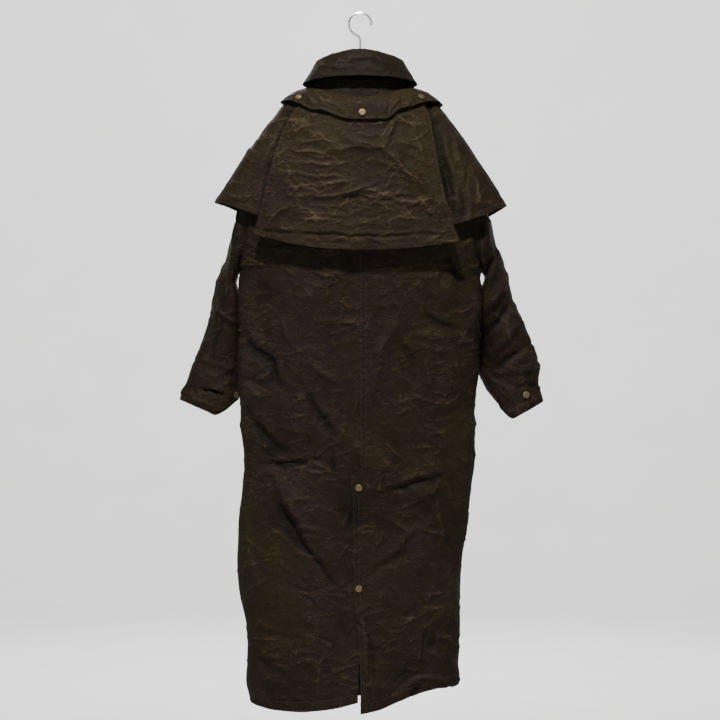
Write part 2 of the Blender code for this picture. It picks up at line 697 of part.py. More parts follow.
def flap_point(share, degrees):
    """Point on the neck flap; share runs from its neck seam to its edge."""
    spots, reach = zip(*column(FLAP_REACH_COLUMNS, FLAP_REACH, "ring", key="degrees"))
    edge = float(np.interp(degrees, spots, reach))
    lift = FLAP_SEAM_LIFT + (FLAP_LIFT - FLAP_SEAM_LIFT) * blend(0.0, FLAP_LIFT_SHARE, share)
    return cape_point(edge * share, degrees, lift)


def flap_rows():
    """Rows of the round flap over the top of the cape, open at the front."""
    return [[flap_point(share, FLAP_START + FLAP_SPAN * step / FLAP_STEPS)
             for step in range(FLAP_STEPS + 1)] for share in FLAP_ROWS]


def band_rows():
    """Rows of the narrow band between the cape's neck edge and the collar."""
    size = (BAND_HALF_WIDTH, BAND_DEPTH[BACK], BAND_DEPTH[FRONT])
    z_back, z_front = BAND_TOP - BAND_TOP_DROP[BACK], BAND_TOP - BAND_TOP_DROP[FRONT]
    rows = []
    for share in BAND_ROWS:
        row = []
        for step in range(BAND_STEPS + 1):
            degrees = BAND_START + BAND_SPAN * step / BAND_STEPS
            foot = cape_point(0.0, degrees)
            foot.z += BAND_FOOT_LIFT
            head = ring_point(size, degrees, BAND_TOP, z_back, z_front)
            row.append(head.lerp(foot, share))
        rows.append(row)
    return rows


def collar_rows():
    """Rows of the collar strip: its stand rises from the neck seam, turns over and falls outside."""
    rows = []
    for values in COLLAR_RINGS:
        ring = dict(zip(COLLAR_COLUMNS, values))
        size = (ring["half_width"], ring["back"], ring["front"])
        curves = (ring["back_curve"], ring["front_curve"])
        row = []
        for step in range(COLLAR_STEPS + 1):
            degrees = 90 - COLLAR_HALF_ANGLE + 2 * COLLAR_HALF_ANGLE * step / COLLAR_STEPS
            row.append(ring_point(size, degrees, ring["z_side"], ring["z_back"], ring["z_front"], curves))
        rows.append(row)
    return rows


def build_neck():
    """Neck flap, neck band and collar."""
    cloth_piece("neck_flap", flap_rows(), "waxed_cotton_cape", flip=True)
    cloth_piece("neck_band", band_rows(), "waxed_cotton_collar", flip=True)
    cloth_piece("collar", collar_rows(), "waxed_cotton_collar", flip=True)


def add_stud(name, place, outward):
    """Domed press stud cap, turned about its own axis and set on the cloth."""
    radii = column(STUD_PROFILE_COLUMNS, STUD_PROFILE, "radius_share")
    heights = column(STUD_PROFILE_COLUMNS, STUD_PROFILE, "height_share")
    mesh = bmesh.new()
    verts = [mesh.verts.new((radius * STUD_RADIUS, 0, height * STUD_HEIGHT))
             for (_, radius), (_, height) in zip(radii, heights)]
    for start, end in zip(verts, verts[1:]):
        mesh.edges.new((start, end))
    data = bpy.data.meshes.new(name)
    mesh.to_mesh(data)
    mesh.free()
    made = add_object(name, data, "brass_stud")
    turn = made.modifiers.new("turned", "SCREW")
    turn.steps = STUD_STEPS
    turn.render_steps = STUD_STEPS
    turn.use_merge_vertices = True
    turn.merge_threshold = 0.00001
    made.location = place
    made.rotation_mode = "QUATERNION"
    made.rotation_quaternion = outward.to_track_quat("Z", "Y")
    return made


def outward_at(surface, first, second):
    """Point and outward direction, towards the back, of a surface function at two parameters."""
    here = surface(first, second)
    across = surface(first, second + PROBE_DEGREES) - here
    down = surface(first + PROBE_SHARE, second) - here
    outward = across.cross(down).normalized()
    return here, outward if outward.y > 0 else -outward


def seat(surface_name, place, outward):
    """Place moved along outward until a stud clears the piece that carries it by the seam gap."""
    depsgraph = bpy.context.evaluated_depsgraph_get()
    surface = bpy.data.objects[surface_name].evaluated_get(depsgraph)
    across = outward.orthogonal().normalized()
    beside = outward.cross(across)
    heights = []
    for radius, turns in ((0.0, 1), (STUD_RADIUS, STUD_STEPS)):
        for turn in range(turns):
            angle = 2 * math.pi * turn / turns
            spot = place + (across * math.cos(angle) + beside * math.sin(angle)) * radius
            hit, point, _, _ = surface.ray_cast(spot + outward * SEAT_REACH, -outward)
            if hit:
                heights.append((point - place).dot(outward))
    return place + outward * (max(heights) + SEAM_GAP)


def build_studs():
    """Press studs on the flap, the back vent, the front lap and the cuff tabs."""
    for row in FLAP_STUDS:
        stud = dict(zip(FLAP_STUD_COLUMNS, row))
        place, outward = outward_at(flap_point, stud["share"], stud["degrees"])
        add_stud(stud["name"], seat("neck_flap", place, outward), outward)
    for studs, surface_name, face in ((VENT_STUDS, "back_right", BACK), (FRONT_STUDS, "front_left", FRONT)):
        for name, level in studs:
            place = Vector((VENT_STUD_X, section_y(face, 0.0, level), level))
            outward = Vector((0, face, 0))
            add_stud(name, seat(surface_name, place, outward), outward)
    for side, side_name in ((LEFT, "left"), (RIGHT, "right")):
        def tab(number, degrees, side=side):
            return tab_point(side, number, degrees)
        place, outward = outward_at(tab, sum(TAB_RINGS) / 2, TAB_STUD_ANGLE[side])
        add_stud(f"stud_cuff_{side_name}", seat(f"cuff_tab_{side_name}", place, outward), outward)


def tab_point(side, number, degrees):
    """Point on a cuff tab, which lies on the back of the sleeve."""
    angle = math.radians(degrees)
    here = sleeve_ring(side, number, angle)
    ahead = sleeve_ring(side, number, angle + TAB_PROBE_ANGLE)
    below = sleeve_ring(side, number + TAB_PROBE_RING, angle)
    outward = (ahead - here).cross(below - here).normalized()
    if outward.y < 0:
        outward = -outward
    return here + outward * TAB_LIFT


def tab_rows(side):
    """Rows of the strap on the back of a cuff."""
    first, last = TAB_ANGLES[side]
    return [[tab_point(side, number, first + (last - first) * step / TAB_LENGTH_STEPS)
             for step in range(TAB_LENGTH_STEPS + 1)]
            for number in (TAB_RINGS[0], sum(TAB_RINGS) / 2, TAB_RINGS[1])]


def build_cuff_tabs():
    """Strap on the back of each cuff."""
    for side, side_name in ((LEFT, "left"), (RIGHT, "right")):
        cloth_piece(f"cuff_tab_{side_name}", tab_rows(side), "waxed_cotton_body", flip=side > 0)


def wire(name, points, radius, material_name):
    """Round wire through points, with closed ends."""
    curve = bpy.data.curves.new(name, "CURVE")
    curve.dimensions = "3D"
    curve.bevel_depth = radius
    curve.bevel_resolution = WIRE_RESOLUTION
    curve.use_fill_caps = True
    spline = curve.splines.new("POLY")
    spline.points.add(len(points) - 1)
    for spot, point in zip(spline.points, points):
        spot.co = (*point, 1)
    spline.use_smooth = True
    return add_object(name, curve, material_name)


def build_hanger():
    """Plain bar inside the shoulders, and the wire hook."""
    clearance = CLOTH + SEAM_GAP + BAR_RADIUS
    points = []
    for step in range(-BAR_STEPS, BAR_STEPS + 1):
        x = BAR_HALF_LENGTH * step / BAR_STEPS
        sag = BAR_NECK_SAG * (1 - blend(NECK_HALF_WIDTH, BAR_SEAT_START, abs(x)))
        seat = shoulder_height(max(abs(x), NECK_HALF_WIDTH)) - clearance - sag
        share = min(abs(x) / NECK_HALF_WIDTH, 1.0)
        z = seat if share >= 1 else BAR_PEAK + (seat - BAR_PEAK) * share ** BAR_RISE_POWER
        points.append((x, 0.0, z))
    wire("hanger_bar", points, BAR_RADIUS, "hanger_plastic")
    middle_z = WIRE_RADIUS - HOOK_RADIUS
    points = []
    for step in range(HOOK_ARC_STEPS + 1):
        angle = math.radians(HOOK_TIP_ANGLE + (HOOK_END_ANGLE - HOOK_TIP_ANGLE) * step / HOOK_ARC_STEPS)
        points.append((HOOK_RADIUS * math.cos(angle), 0.0, middle_z + HOOK_RADIUS * math.sin(angle)))
    end_x, _, end_z = points[-1]
    for row in HOOK_FOOT:
        foot = dict(zip(HOOK_FOOT_COLUMNS, row))
        points.append((end_x * foot["x_share"], 0.0, end_z - foot["drop"]))
    points.append((0.0, 0.0, SHAFT_FOOT))
    wire("hanger_hook", points, WIRE_RADIUS, "hook_chrome")


def main():
    """Clear the scene and build every piece."""
    for item in list(bpy.data.objects):
        bpy.data.objects.remove(item, do_unlink=True)
    collection = bpy.data.collections.new("duster_coat")
    bpy.context.scene.collection.children.link(collection)
    build_body()
    build_sleeves()
    build_cape()
    build_neck()
    build_cuff_tabs()
    build_studs()
    build_hanger()


main()
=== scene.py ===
"""Looks of the duster coat: cloth with creases, seams and stitching, studs, hanger, stage, camera."""

import math

import bpy
import numpy as np
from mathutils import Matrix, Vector


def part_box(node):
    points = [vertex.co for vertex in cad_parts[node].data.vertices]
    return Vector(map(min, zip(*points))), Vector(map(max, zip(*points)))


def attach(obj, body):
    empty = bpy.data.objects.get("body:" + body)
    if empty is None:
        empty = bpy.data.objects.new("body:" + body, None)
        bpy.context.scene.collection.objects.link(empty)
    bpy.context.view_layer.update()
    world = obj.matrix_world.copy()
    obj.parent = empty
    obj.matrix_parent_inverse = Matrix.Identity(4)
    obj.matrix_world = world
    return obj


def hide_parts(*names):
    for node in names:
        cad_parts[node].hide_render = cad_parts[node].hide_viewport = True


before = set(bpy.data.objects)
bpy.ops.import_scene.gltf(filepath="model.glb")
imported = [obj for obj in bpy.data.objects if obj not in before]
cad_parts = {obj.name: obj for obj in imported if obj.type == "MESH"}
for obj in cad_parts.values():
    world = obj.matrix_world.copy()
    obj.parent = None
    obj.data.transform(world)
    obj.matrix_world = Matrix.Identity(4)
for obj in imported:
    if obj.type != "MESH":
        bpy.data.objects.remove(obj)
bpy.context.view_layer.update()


# Sizes and tables repeated from the part's source
CLOTH = 0.002
SEAM_GAP = 0.0003
HALF_SEAM = SEAM_GAP / 2
LEFT, RIGHT = 1, -1
BACK, FRONT = 1, -1
NECK_HALF_WIDTH = 0.085
NECK_DEPTH = 0.062
NECK_SIDE_HEIGHT = -0.156
NECK_DROP = {BACK: 0.024, FRONT: 0.066}
SHOULDER_TIP = 0.162
SHOULDER_SLOPE = 0.50
SHOULDER_BEND_START = 0.130
SHOULDER_BEND = 12.0
SEAM_TURN = 0.005
ARMHOLE_MIDDLE = -0.370
UNDERARM = -0.540
ARMHOLE_HALF_DEPTH = 0.050
UNDERARM_Y = 0.010
UNDERARM_TURN = 0.05
ARMHOLE_POWER = 0.9
ARMHOLE_EDGE_SHARE = 0.75
BODY_COLUMNS = ("level", "left", "right", "back", "front")
BODY_SECTIONS = (
    (-0.370, 0.226, 0.226, 0.086, 0.078),
    (-0.450, 0.241, 0.241, 0.086, 0.078),
    (-0.540, 0.250, 0.250, 0.083, 0.074),
    (-0.650, 0.254, 0.254, 0.078, 0.070),
    (-0.750, 0.256, 0.252, 0.074, 0.066),
    (-0.820, 0.254, 0.243, 0.071, 0.062),
    (-0.888, 0.250, 0.243, 0.068, 0.060),
    (-0.937, 0.245, 0.243, 0.066, 0.058),
    (-1.035, 0.250, 0.232, 0.064, 0.057),
    (-1.133, 0.256, 0.221, 0.063, 0.057),
    (-1.206, 0.259, 0.209, 0.063, 0.058),
    (-1.280, 0.242, 0.209, 0.064, 0.059),
    (-1.359, 0.237, 0.212, 0.066, 0.060),
    (-1.412, 0.243, 0.199, 0.067, 0.061),
    (-1.450, 0.230, 0.193, 0.068, 0.061),
)
SECTION_ROUNDNESS = 2.4
SECTION_POWER = 0.62
HEM_HEIGHTS = {
    (LEFT, BACK): ((0.00, -1.457), (0.05, -1.470), (0.17, -1.476), (0.20, -1.472), (0.26, -1.452)),
    (RIGHT, BACK): ((0.00, -1.482), (0.04, -1.473), (0.08, -1.456), (0.16, -1.430), (0.26, -1.418)),
    (LEFT, FRONT): ((0.00, -1.462), (0.15, -1.465), (0.26, -1.450)),
    (RIGHT, FRONT): ((0.00, -1.455), (0.15, -1.440), (0.26, -1.418)),
}
YOKE_ROWS = (0.0, 0.06, 0.16, 0.32, 0.54, 0.78, 1.0)
ARMHOLE_LEVELS = (-0.420, -0.468, -0.510, -0.540)
SKIRT_LEVELS = (-0.600, -0.680, -0.760, -0.840, -0.900, -0.950, -0.966, -0.978, -1.035,
                -1.100, -1.165, -1.235, -1.305, -1.370, -1.425)
SECTION_STEPS = (0.0, 0.10, 0.22, 0.35, 0.48, 0.61, 0.73, 0.83, 0.91, 0.97, 1.0)
NECK_STEPS = 4
SIDE_FACE = 0.006
NECK_RISE_POWER = 0.8
NECK_TURN_DROP = 0.004
VENT_TOP = -0.972
VENT_LAP = 0.015
VENT_UNDERLAP = 0.026
UNDERLAP_FADE_START = -1.25
UNDERLAP_FADE_END = -1.40
UNDERLAP_FOOT = 0.004
VENT_RAISE_START = -0.900
VENT_RAISE_END = -0.960
VENT_PARTING = ((-1.50, -0.001), (-1.42, -0.001), (-1.34, 0.003), (-1.27, 0.006), (-1.22, 0.015))
FRONT_LAP = 0.030
LAP_LIFT = 0.0034
LAP_DROP = 0.0010
LAP_FLAT = 0.030
LAP_REACH = 0.070
FOLD_COLUMNS = ("x0", "z0", "x1", "z1", "width", "height")
BODY_FOLDS = (
    (0.225, -0.665, 0.150, -0.780, 0.030, -0.006),
    (0.240, -0.825, 0.170, -0.905, 0.034, -0.007),
    (0.110, -0.790, 0.060, -0.900, 0.030, -0.005),
    (0.185, -1.000, 0.080, -1.160, 0.034, 0.006),
    (0.195, -0.950, 0.080, -0.950, 0.026, -0.004),
    (-0.090, -0.695, -0.125, -0.800, 0.030, -0.006),
    (-0.115, -1.015, -0.195, -0.975, 0.030, 0.005),
    (-0.002, -1.120, -0.072, -1.055, 0.026, -0.004),
    (-0.060, -1.230, -0.170, -1.130, 0.036, 0.006),
    (0.060, -1.300, 0.190, -1.240, 0.036, 0.005),
)
FOLD_END_SHARE = 0.12
FOLD_SIDE_FADE = 0.80
FOLD_CENTRE_FADE = (0.01, 0.05)
SLEEVE_COLUMNS = ("outer_x", "outer_z", "inner_x", "inner_z", "middle_y", "half_depth", "drop", "bow")
SLEEVE_RINGS = {
    LEFT: (
        (0.204, -0.272, 0.260, -0.548, 0.002, 0.050, 0.000, 0.024),
        (0.231, -0.345, 0.262, -0.558, -0.006, 0.048, 0.000, 0.020),
        (0.254, -0.415, 0.263, -0.570, -0.015, 0.046, 0.000, 0.013),
        (0.271, -0.470, 0.262, -0.586, -0.024, 0.044, 0.000, 0.007),
        (0.286, -0.521, 0.258, -0.606, -0.032, 0.042, 0.000, 0.003),
        (0.304, -0.570, 0.252, -0.636, -0.039, 0.040, 0.002, 0.000),
        (0.323, -0.628, 0.247, -0.676, -0.044, 0.038, 0.004, 0.000),
        (0.341, -0.697, 0.245, -0.722, -0.047, 0.036, 0.009, 0.000),
        (0.360, -0.752, 0.249, -0.766, -0.049, 0.035, 0.016, 0.000),
        (0.378, -0.793, 0.256, -0.800, -0.050, 0.034, 0.025, 0.000),
        (0.392, -0.820, 0.262, -0.822, -0.050, 0.034, 0.036, 0.000),
    ),
    RIGHT: (
        (0.206, -0.272, 0.260, -0.548, 0.002, 0.050, 0.000, 0.024),
        (0.236, -0.345, 0.262, -0.558, -0.006, 0.048, 0.000, 0.020),
        (0.264, -0.412, 0.263, -0.570, -0.015, 0.046, 0.000, 0.013),
        (0.282, -0.458, 0.262, -0.586, -0.024, 0.044, 0.000, 0.007),
        (0.298, -0.507, 0.258, -0.606, -0.032, 0.042, 0.000, 0.003),
        (0.318, -0.567, 0.252, -0.636, -0.039, 0.041, 0.002, 0.000),
        (0.345, -0.643, 0.247, -0.676, -0.045, 0.040, 0.004, 0.000),
        (0.371, -0.705, 0.247, -0.722, -0.049, 0.038, 0.009, 0.000),
        (0.384, -0.748, 0.253, -0.762, -0.052, 0.037, 0.018, 0.000),
        (0.390, -0.788, 0.268, -0.793, -0.054, 0.036, 0.028, 0.000),
        (0.400, -0.824, 0.286, -0.822, -0.055, 0.036, 0.042, 0.000),
    ),
}
CUFF_LOW_COSINE = -0.35
ARMHOLE_BAND = 0.007
SLEEVE_EVEN_SHARE = 0.65
CAPE_COLUMNS = ("left", "right", "side_left", "side_right", "back", "z_back", "front", "z_front")
CAPE_RINGS = (
    (0.099, 0.101, -0.1570, -0.1570, 0.079, -0.186, 0.073, -0.222),
    (0.127, 0.131, -0.1710, -0.1730, 0.089, -0.208, 0.081, -0.243),
    (0.158, 0.164, -0.1890, -0.1930, 0.096, -0.236, 0.088, -0.270),
    (0.190, 0.196, -0.2280, -0.2330, 0.101, -0.272, 0.093, -0.306),
    (0.222, 0.226, -0.2720, -0.2750, 0.104, -0.316, 0.097, -0.350),
    (0.252, 0.254, -0.3140, -0.3150, 0.107, -0.366, 0.099, -0.398),
    (0.282, 0.284, -0.3580, -0.3600, 0.109, -0.424, 0.100, -0.446),
    (0.311, 0.313, -0.4015, -0.4090, 0.110, -0.476, 0.100, -0.492),
    (0.326, 0.330, -0.4450, -0.4500, 0.111, -0.507, 0.100, -0.520),
)
CAPE_ROUNDNESS = 2.3
CAPE_HEM_CURVE = {LEFT: 1.5, RIGHT: 1.0}
CAPE_HEM_RING = 7.0
LIFT_RISE = 0.8
LIFT_RISE_RING = 3.0
CAPE_FRONT_GAP = 0.003
CAPE_SIDE_ROWS = (0.0, 0.6, 1.3, 2.1, 3.0, 4.0, 5.0, 6.0, 7.0)
CAPE_SIDE_STEPS = 13
CAPE_LAP = 0.026
PANEL_EDGES = {
    LEFT: ((0.0, 0.086), (1.15, 0.104), (2.0, 0.128), (3.0, 0.154), (5.0, 0.186), (8.0, 0.222)),
    RIGHT: ((0.0, 0.090), (1.15, 0.114), (2.0, 0.137), (3.0, 0.150), (5.0, 0.166), (8.0, 0.208)),
}
PANEL_ROWS = (1.15, 1.6, 2.2, 3.0, 4.0, 5.0, 6.0, 7.0, 7.6, 8.0)
PANEL_STEPS = 12
PANEL_LIFT = 0.0017
PANEL_EDGE_LIFT = 0.0003
CAPE_FOLDS = (
    (-0.047, -0.290, -0.168, -0.417, 0.016, 0.007),
    (0.134, -0.402, 0.205, -0.470, 0.018, 0.005),
    (0.145, -0.396, 0.000, -0.388, 0.014, 0.004),
    (0.060, -0.300, -0.040, -0.270, 0.016, 0.004),
    (0.020, -0.470, 0.120, -0.455, 0.016, 0.004),
)
PANEL_FADE = 0.030
FLAP_LIFT = 0.0108
FLAP_SEAM_LIFT = 0.0026
FLAP_LIFT_SHARE = 0.55
FLAP_REACH_COLUMNS = ("degrees", "ring")
FLAP_REACH = (
    (-90, 1.9), (-45, 1.9), (0, 2.05), (28, 1.80), (42, 1.78), (55, 1.86), (66, 1.66), (79, 1.95),
    (90, 2.0), (112, 2.0), (115, 1.62), (145, 1.60), (160, 1.75), (180, 2.1), (225, 1.9), (270, 1.9),
)
FLAP_ROWS = (0.0, 0.28, 0.52, 0.76, 1.0)
FLAP_STEPS = 40
FLAP_START = -86.0
FLAP_SPAN = 352.0
BAND_HALF_WIDTH = 0.094
BAND_DEPTH = {BACK: 0.073, FRONT: 0.067}
BAND_TOP = -0.136
BAND_TOP_DROP = {BACK: 0.012, FRONT: 0.054}
BAND_FOOT_LIFT = 0.0009
BAND_ROWS = (0.0, 0.5, 1.0)
BAND_STEPS = 26
BAND_START = -84.0
BAND_SPAN = 348.0
COLLAR_STEPS = 26
COLLAR_HALF_ANGLE = 168.0
COLLAR_COLUMNS = ("half_width", "back", "front", "z_side", "z_back", "z_front", "back_curve",
                  "front_curve")
COLLAR_RINGS = (
    (0.0815, 0.0574, 0.0566, -0.1560, -0.1820, -0.2240, 1.0, 1.0),
    (0.0810, 0.0590, 0.0580, -0.1300, -0.1310, -0.1960, 1.1, 1.1),
    (0.0790, 0.0600, 0.0620, -0.1040, -0.0920, -0.1700, 1.6, 1.2),
    (0.0820, 0.0640, 0.0670, -0.0960, -0.0825, -0.1620, 1.6, 1.2),
    (0.0890, 0.0720, 0.0740, -0.0975, -0.0830, -0.1640, 1.6, 1.3),
    (0.0985, 0.0800, 0.0820, -0.1110, -0.0960, -0.1800, 1.2, 1.5),
    (0.1110, 0.0880, 0.0900, -0.1320, -0.1190, -0.2050, 0.8, 1.7),
    (0.1230, 0.0940, 0.0960, -0.1510, -0.1410, -0.2290, 0.5, 1.8),
)
STUD_RADIUS = 0.0074
TAB_LENGTH_STEPS = 6
TAB_RINGS = (8.75, 9.7)
TAB_ANGLES = {LEFT: (100.0, 158.0), RIGHT: (58.0, 126.0)}
TAB_LIFT = 0.0026
TAB_PROBE_ANGLE = 0.02
TAB_PROBE_RING = 0.05


def hermite(t, start, end, rise_start, rise_end):
    """Cubic curve from start to end, leaving and arriving with the given rises, at a share t of the way."""
    return ((2 * t ** 3 - 3 * t ** 2 + 1) * start + (t ** 3 - 2 * t ** 2 + t) * rise_start
            + (3 * t ** 2 - 2 * t ** 3) * end + (t ** 3 - t ** 2) * rise_end)


def through(pairs, where):
    """Smooth value at `where` of the curve through pairs of (position, value)."""
    points = sorted(pairs)
    spots = np.array([point[0] for point in points])
    values = np.array([point[1] for point in points])
    slopes = np.gradient(values, spots)
    place = min(max(where, spots[0]), spots[-1])
    index = min(int(np.searchsorted(spots, place, side="right")) - 1, len(spots) - 2)
    span = spots[index + 1] - spots[index]
    t = (place - spots[index]) / span
    start, end = values[index], values[index + 1]
    rise_start, rise_end = slopes[index] * span, slopes[index + 1] * span
    return hermite(t, start, end, rise_start, rise_end)


def column(columns, rows, name, key=None):
    """Pairs of (position, value) for one named column; the position is the key column or the row."""
    index = columns.index(name)
    if key is None:
        return [(number, row[index]) for number, row in enumerate(rows)]
    return [(row[columns.index(key)], row[index]) for row in rows]


def blend(start, end, value):
    """0 before start, 1 after end, smooth between them."""
    t = min(max((value - start) / (end - start), 0.0), 1.0)
    return t * t * (3 - 2 * t)


def body_size(name, level):
    """Half width or depth of the body at a level."""
    return through(column(BODY_COLUMNS, BODY_SECTIONS, name, key="level"), level)


def fold_relief(folds, x, z):
    """Height that a table of folds adds at a point."""
    total = 0.0
    for row in folds:
        fold = dict(zip(FOLD_COLUMNS, row))
        along = Vector((fold["x1"] - fold["x0"], fold["z1"] - fold["z0"]))
        offset = Vector((x - fold["x0"], z - fold["z0"]))
        travel = min(max(offset.dot(along) / along.length ** 2, 0.0), 1.0)
        distance = (offset - along * travel).length
        swell = math.sin(math.pi * (FOLD_END_SHARE + (1 - 2 * FOLD_END_SHARE) * travel))
        total += fold["height"] * swell * math.exp(-(distance / fold["width"]) ** 2)
    return total


def shoulder_height(x):
    """Height of the shoulder seam; it bends down towards the tip."""
    bend = max(x - SHOULDER_BEND_START, 0.0)
    return NECK_SIDE_HEIGHT - SHOULDER_SLOPE * (x - NECK_HALF_WIDTH) - SHOULDER_BEND * bend ** 2


def shoulder_steepness(x):
    """Downward slope of the shoulder seam."""
    return SHOULDER_SLOPE + 2 * SHOULDER_BEND * max(x - SHOULDER_BEND_START, 0.0)


def neck_point(angle, face, inset=0.0):
    """Point on the neckline; angle 0 is the side of the neck and 90 degrees the centre."""
    width = NECK_HALF_WIDTH + inset
    depth = NECK_DEPTH + inset
    height = NECK_SIDE_HEIGHT - NECK_DROP[face] * math.sin(angle) ** 2
    return Vector((width * math.cos(angle), face * max(depth * math.sin(angle), HALF_SEAM), height))


def top_edge(face):
    """Top edge of a left body panel from the centre to the shoulder tip, as points."""
    points = [neck_point(math.radians(90 - 90 * step / NECK_STEPS), face)
              for step in range(NECK_STEPS + 1)]
    count = len(SECTION_STEPS) - len(points)
    for step in range(1, count + 1):
        x = NECK_HALF_WIDTH + (SHOULDER_TIP - NECK_HALF_WIDTH) * step / count
        points.append(Vector((x, face * HALF_SEAM, shoulder_height(x))))
    return points


def armhole_depth(level):
    """Half depth of the armhole at a level."""
    if level >= ARMHOLE_MIDDLE:
        return ARMHOLE_HALF_DEPTH
    fall = (ARMHOLE_MIDDLE - level) / (ARMHOLE_MIDDLE - UNDERARM)
    return ARMHOLE_HALF_DEPTH * math.sqrt(max(1 - fall ** 2, 0.0))


def side_middle(level):
    """Y of the armhole's middle and of the side seam."""
    return UNDERARM_Y * blend(ARMHOLE_MIDDLE + UNDERARM_TURN, UNDERARM, level)


def section_y(face, fraction, level):
    """Y of a body section at a fraction of its half width."""
    depth = body_size("back" if face == BACK else "front", level)
    middle = side_middle(level)
    opening = armhole_depth(level) if level > UNDERARM else 0.0
    edge = max(opening, HALF_SEAM)
    if level <= UNDERARM:
        edge = SIDE_FACE
    power = SECTION_POWER + (ARMHOLE_POWER - SECTION_POWER) * opening / ARMHOLE_HALF_DEPTH
    swell = max(1 - fraction ** SECTION_ROUNDNESS, 0.0) ** power
    middle_share = middle * fraction ** 2
    return middle_share + face * (edge + (depth - edge) * swell)


def centre_edge(side, face, level):
    """X of a panel's centre edge, positive towards the panel's own side."""
    if face == FRONT:
        return -FRONT_LAP
    if level > VENT_TOP:
        return HALF_SEAM
    if side == RIGHT:
        lap = VENT_LAP
        if level < VENT_PARTING[-1][0]:
            lap = through(VENT_PARTING, level)
        return -lap
    fade = blend(UNDERLAP_FADE_START, UNDERLAP_FADE_END, level)
    return UNDERLAP_FOOT * fade - VENT_UNDERLAP * (1 - fade)


def lap_shift(side, face, level, x):
    """Outward shift near the centre edge where one panel laps over the other."""
    over = (face == BACK and side == RIGHT) or (face == FRONT and side == LEFT)
    start = 1.0 if face == FRONT else blend(VENT_RAISE_START, VENT_RAISE_END, level)
    near = 1 - blend(LAP_FLAT, LAP_REACH, abs(x))
    return (LAP_LIFT if over else -LAP_DROP) * start * near


def finish_body_point(side, face, point, level):
    """Mirror a panel point to its side and add the lap's shift and the folds."""
    x = side * point.x
    y = point.y + face * lap_shift(side, face, level, point.x)
    if face == BACK:
        near_side = blend(1.0, FOLD_SIDE_FADE, abs(point.x) / body_size("left", level))
        y += fold_relief(BODY_FOLDS, x, point.z) * near_side * blend(*FOLD_CENTRE_FADE, abs(x))
    return Vector((x, y, point.z))


def skirt_row(side, face, level, hem=False):
    """Row of points across one panel at a level, closed by a narrow face along the side seam."""
    half_width = body_size("left" if side == LEFT else "right", level)
    start = centre_edge(side, face, level)
    row = []
    for step in SECTION_STEPS:
        x = start + (half_width - start) * step
        y = section_y(face, max(x, 0.0) / half_width, level)
        z = through(HEM_HEIGHTS[side, face], max(x, 0.0)) if hem else level
        row.append(finish_body_point(side, face, Vector((x, y, z)), level))
    last = row[-1].copy()
    last.y = side_middle(level) + face * (HALF_SEAM if level <= UNDERARM else armhole_depth(level))
    row.append(last)
    return row


def armhole_row(side, face, level):
    """Row across one panel at an armhole level."""
    row = skirt_row(side, face, level)
    row[-1].x = side * body_size("left" if side == LEFT else "right", level)
    row[-2].x = row[-1].x - side * SIDE_FACE
    row[-2].y = row[-3].y + (row[-1].y - row[-3].y) * ARMHOLE_EDGE_SHARE
    return row


def yoke_rows(side, face):
    """Rows from the neck and shoulder seam down to the middle of the armhole."""
    top = top_edge(face)
    chest = armhole_row(LEFT, face, ARMHOLE_MIDDLE)
    top.append(top[-1].copy())
    top[-2] = Vector((SHOULDER_TIP - SIDE_FACE, top[-1].y, shoulder_height(SHOULDER_TIP - SIDE_FACE)))
    rows = []
    for share in YOKE_ROWS:
        row = []
        for index, (start, end) in enumerate(zip(top, chest)):
            on_shoulder = index >= NECK_STEPS
            base = start.y
            rise = math.sqrt(1 - (1 - share) ** 2) if on_shoulder else share ** NECK_RISE_POWER
            if on_shoulder and share > 0:
                base = face * SEAM_TURN
            x = start.x + (end.x - start.x) * share
            y = base + (end.y - base) * rise
            z = start.z + (end.z - start.z) * share
            row.append(Vector((x, y, z)))
        rows.append(row)
    turned = [Vector((point.x, face * SEAM_TURN if index >= NECK_STEPS else point.y, point.z))
              for index, point in enumerate(rows[0])]
    for index, point in enumerate(turned):
        if index < NECK_STEPS:
            point.z -= NECK_TURN_DROP
    rows.insert(1, turned)
    finished = []
    for row in rows:
        finished.append([finish_body_point(side, face, point, 0.0) for point in row])
    return finished


def body_rows(side, face):
    """All rows of one body panel, from its top edge to its hem."""
    rows = yoke_rows(side, face)
    rows += [armhole_row(side, face, level) for level in ARMHOLE_LEVELS[:-1]]
    rows += [skirt_row(side, face, level) for level in ARMHOLE_LEVELS[-1:] + SKIRT_LEVELS]
    rows.append(skirt_row(side, face, BODY_SECTIONS[-1][0], hem=True))
    return rows


def armhole_loop(side):
    """Points round one armhole, from the shoulder tip down the back and up the front."""
    count = len(YOKE_ROWS) + 1 + len(ARMHOLE_LEVELS)
    back = [row[-1] for row in body_rows(side, BACK)[:count]]
    front = [row[-1] for row in body_rows(side, FRONT)[:count]]
    loop = [(back[0] + front[0]) / 2] + back[1:-1] + [(back[-1] + front[-1]) / 2] + front[-2:0:-1]
    return loop


def drop_share(cosine, sine):
    """Share of a ring's drop: straight from both side edges to a low point behind, reversed in front."""
    if cosine > CUFF_LOW_COSINE:
        share = (1 - cosine) / (1 - CUFF_LOW_COSINE)
    else:
        share = (1 + cosine) / (1 + CUFF_LOW_COSINE)
    return math.copysign(share, sine)


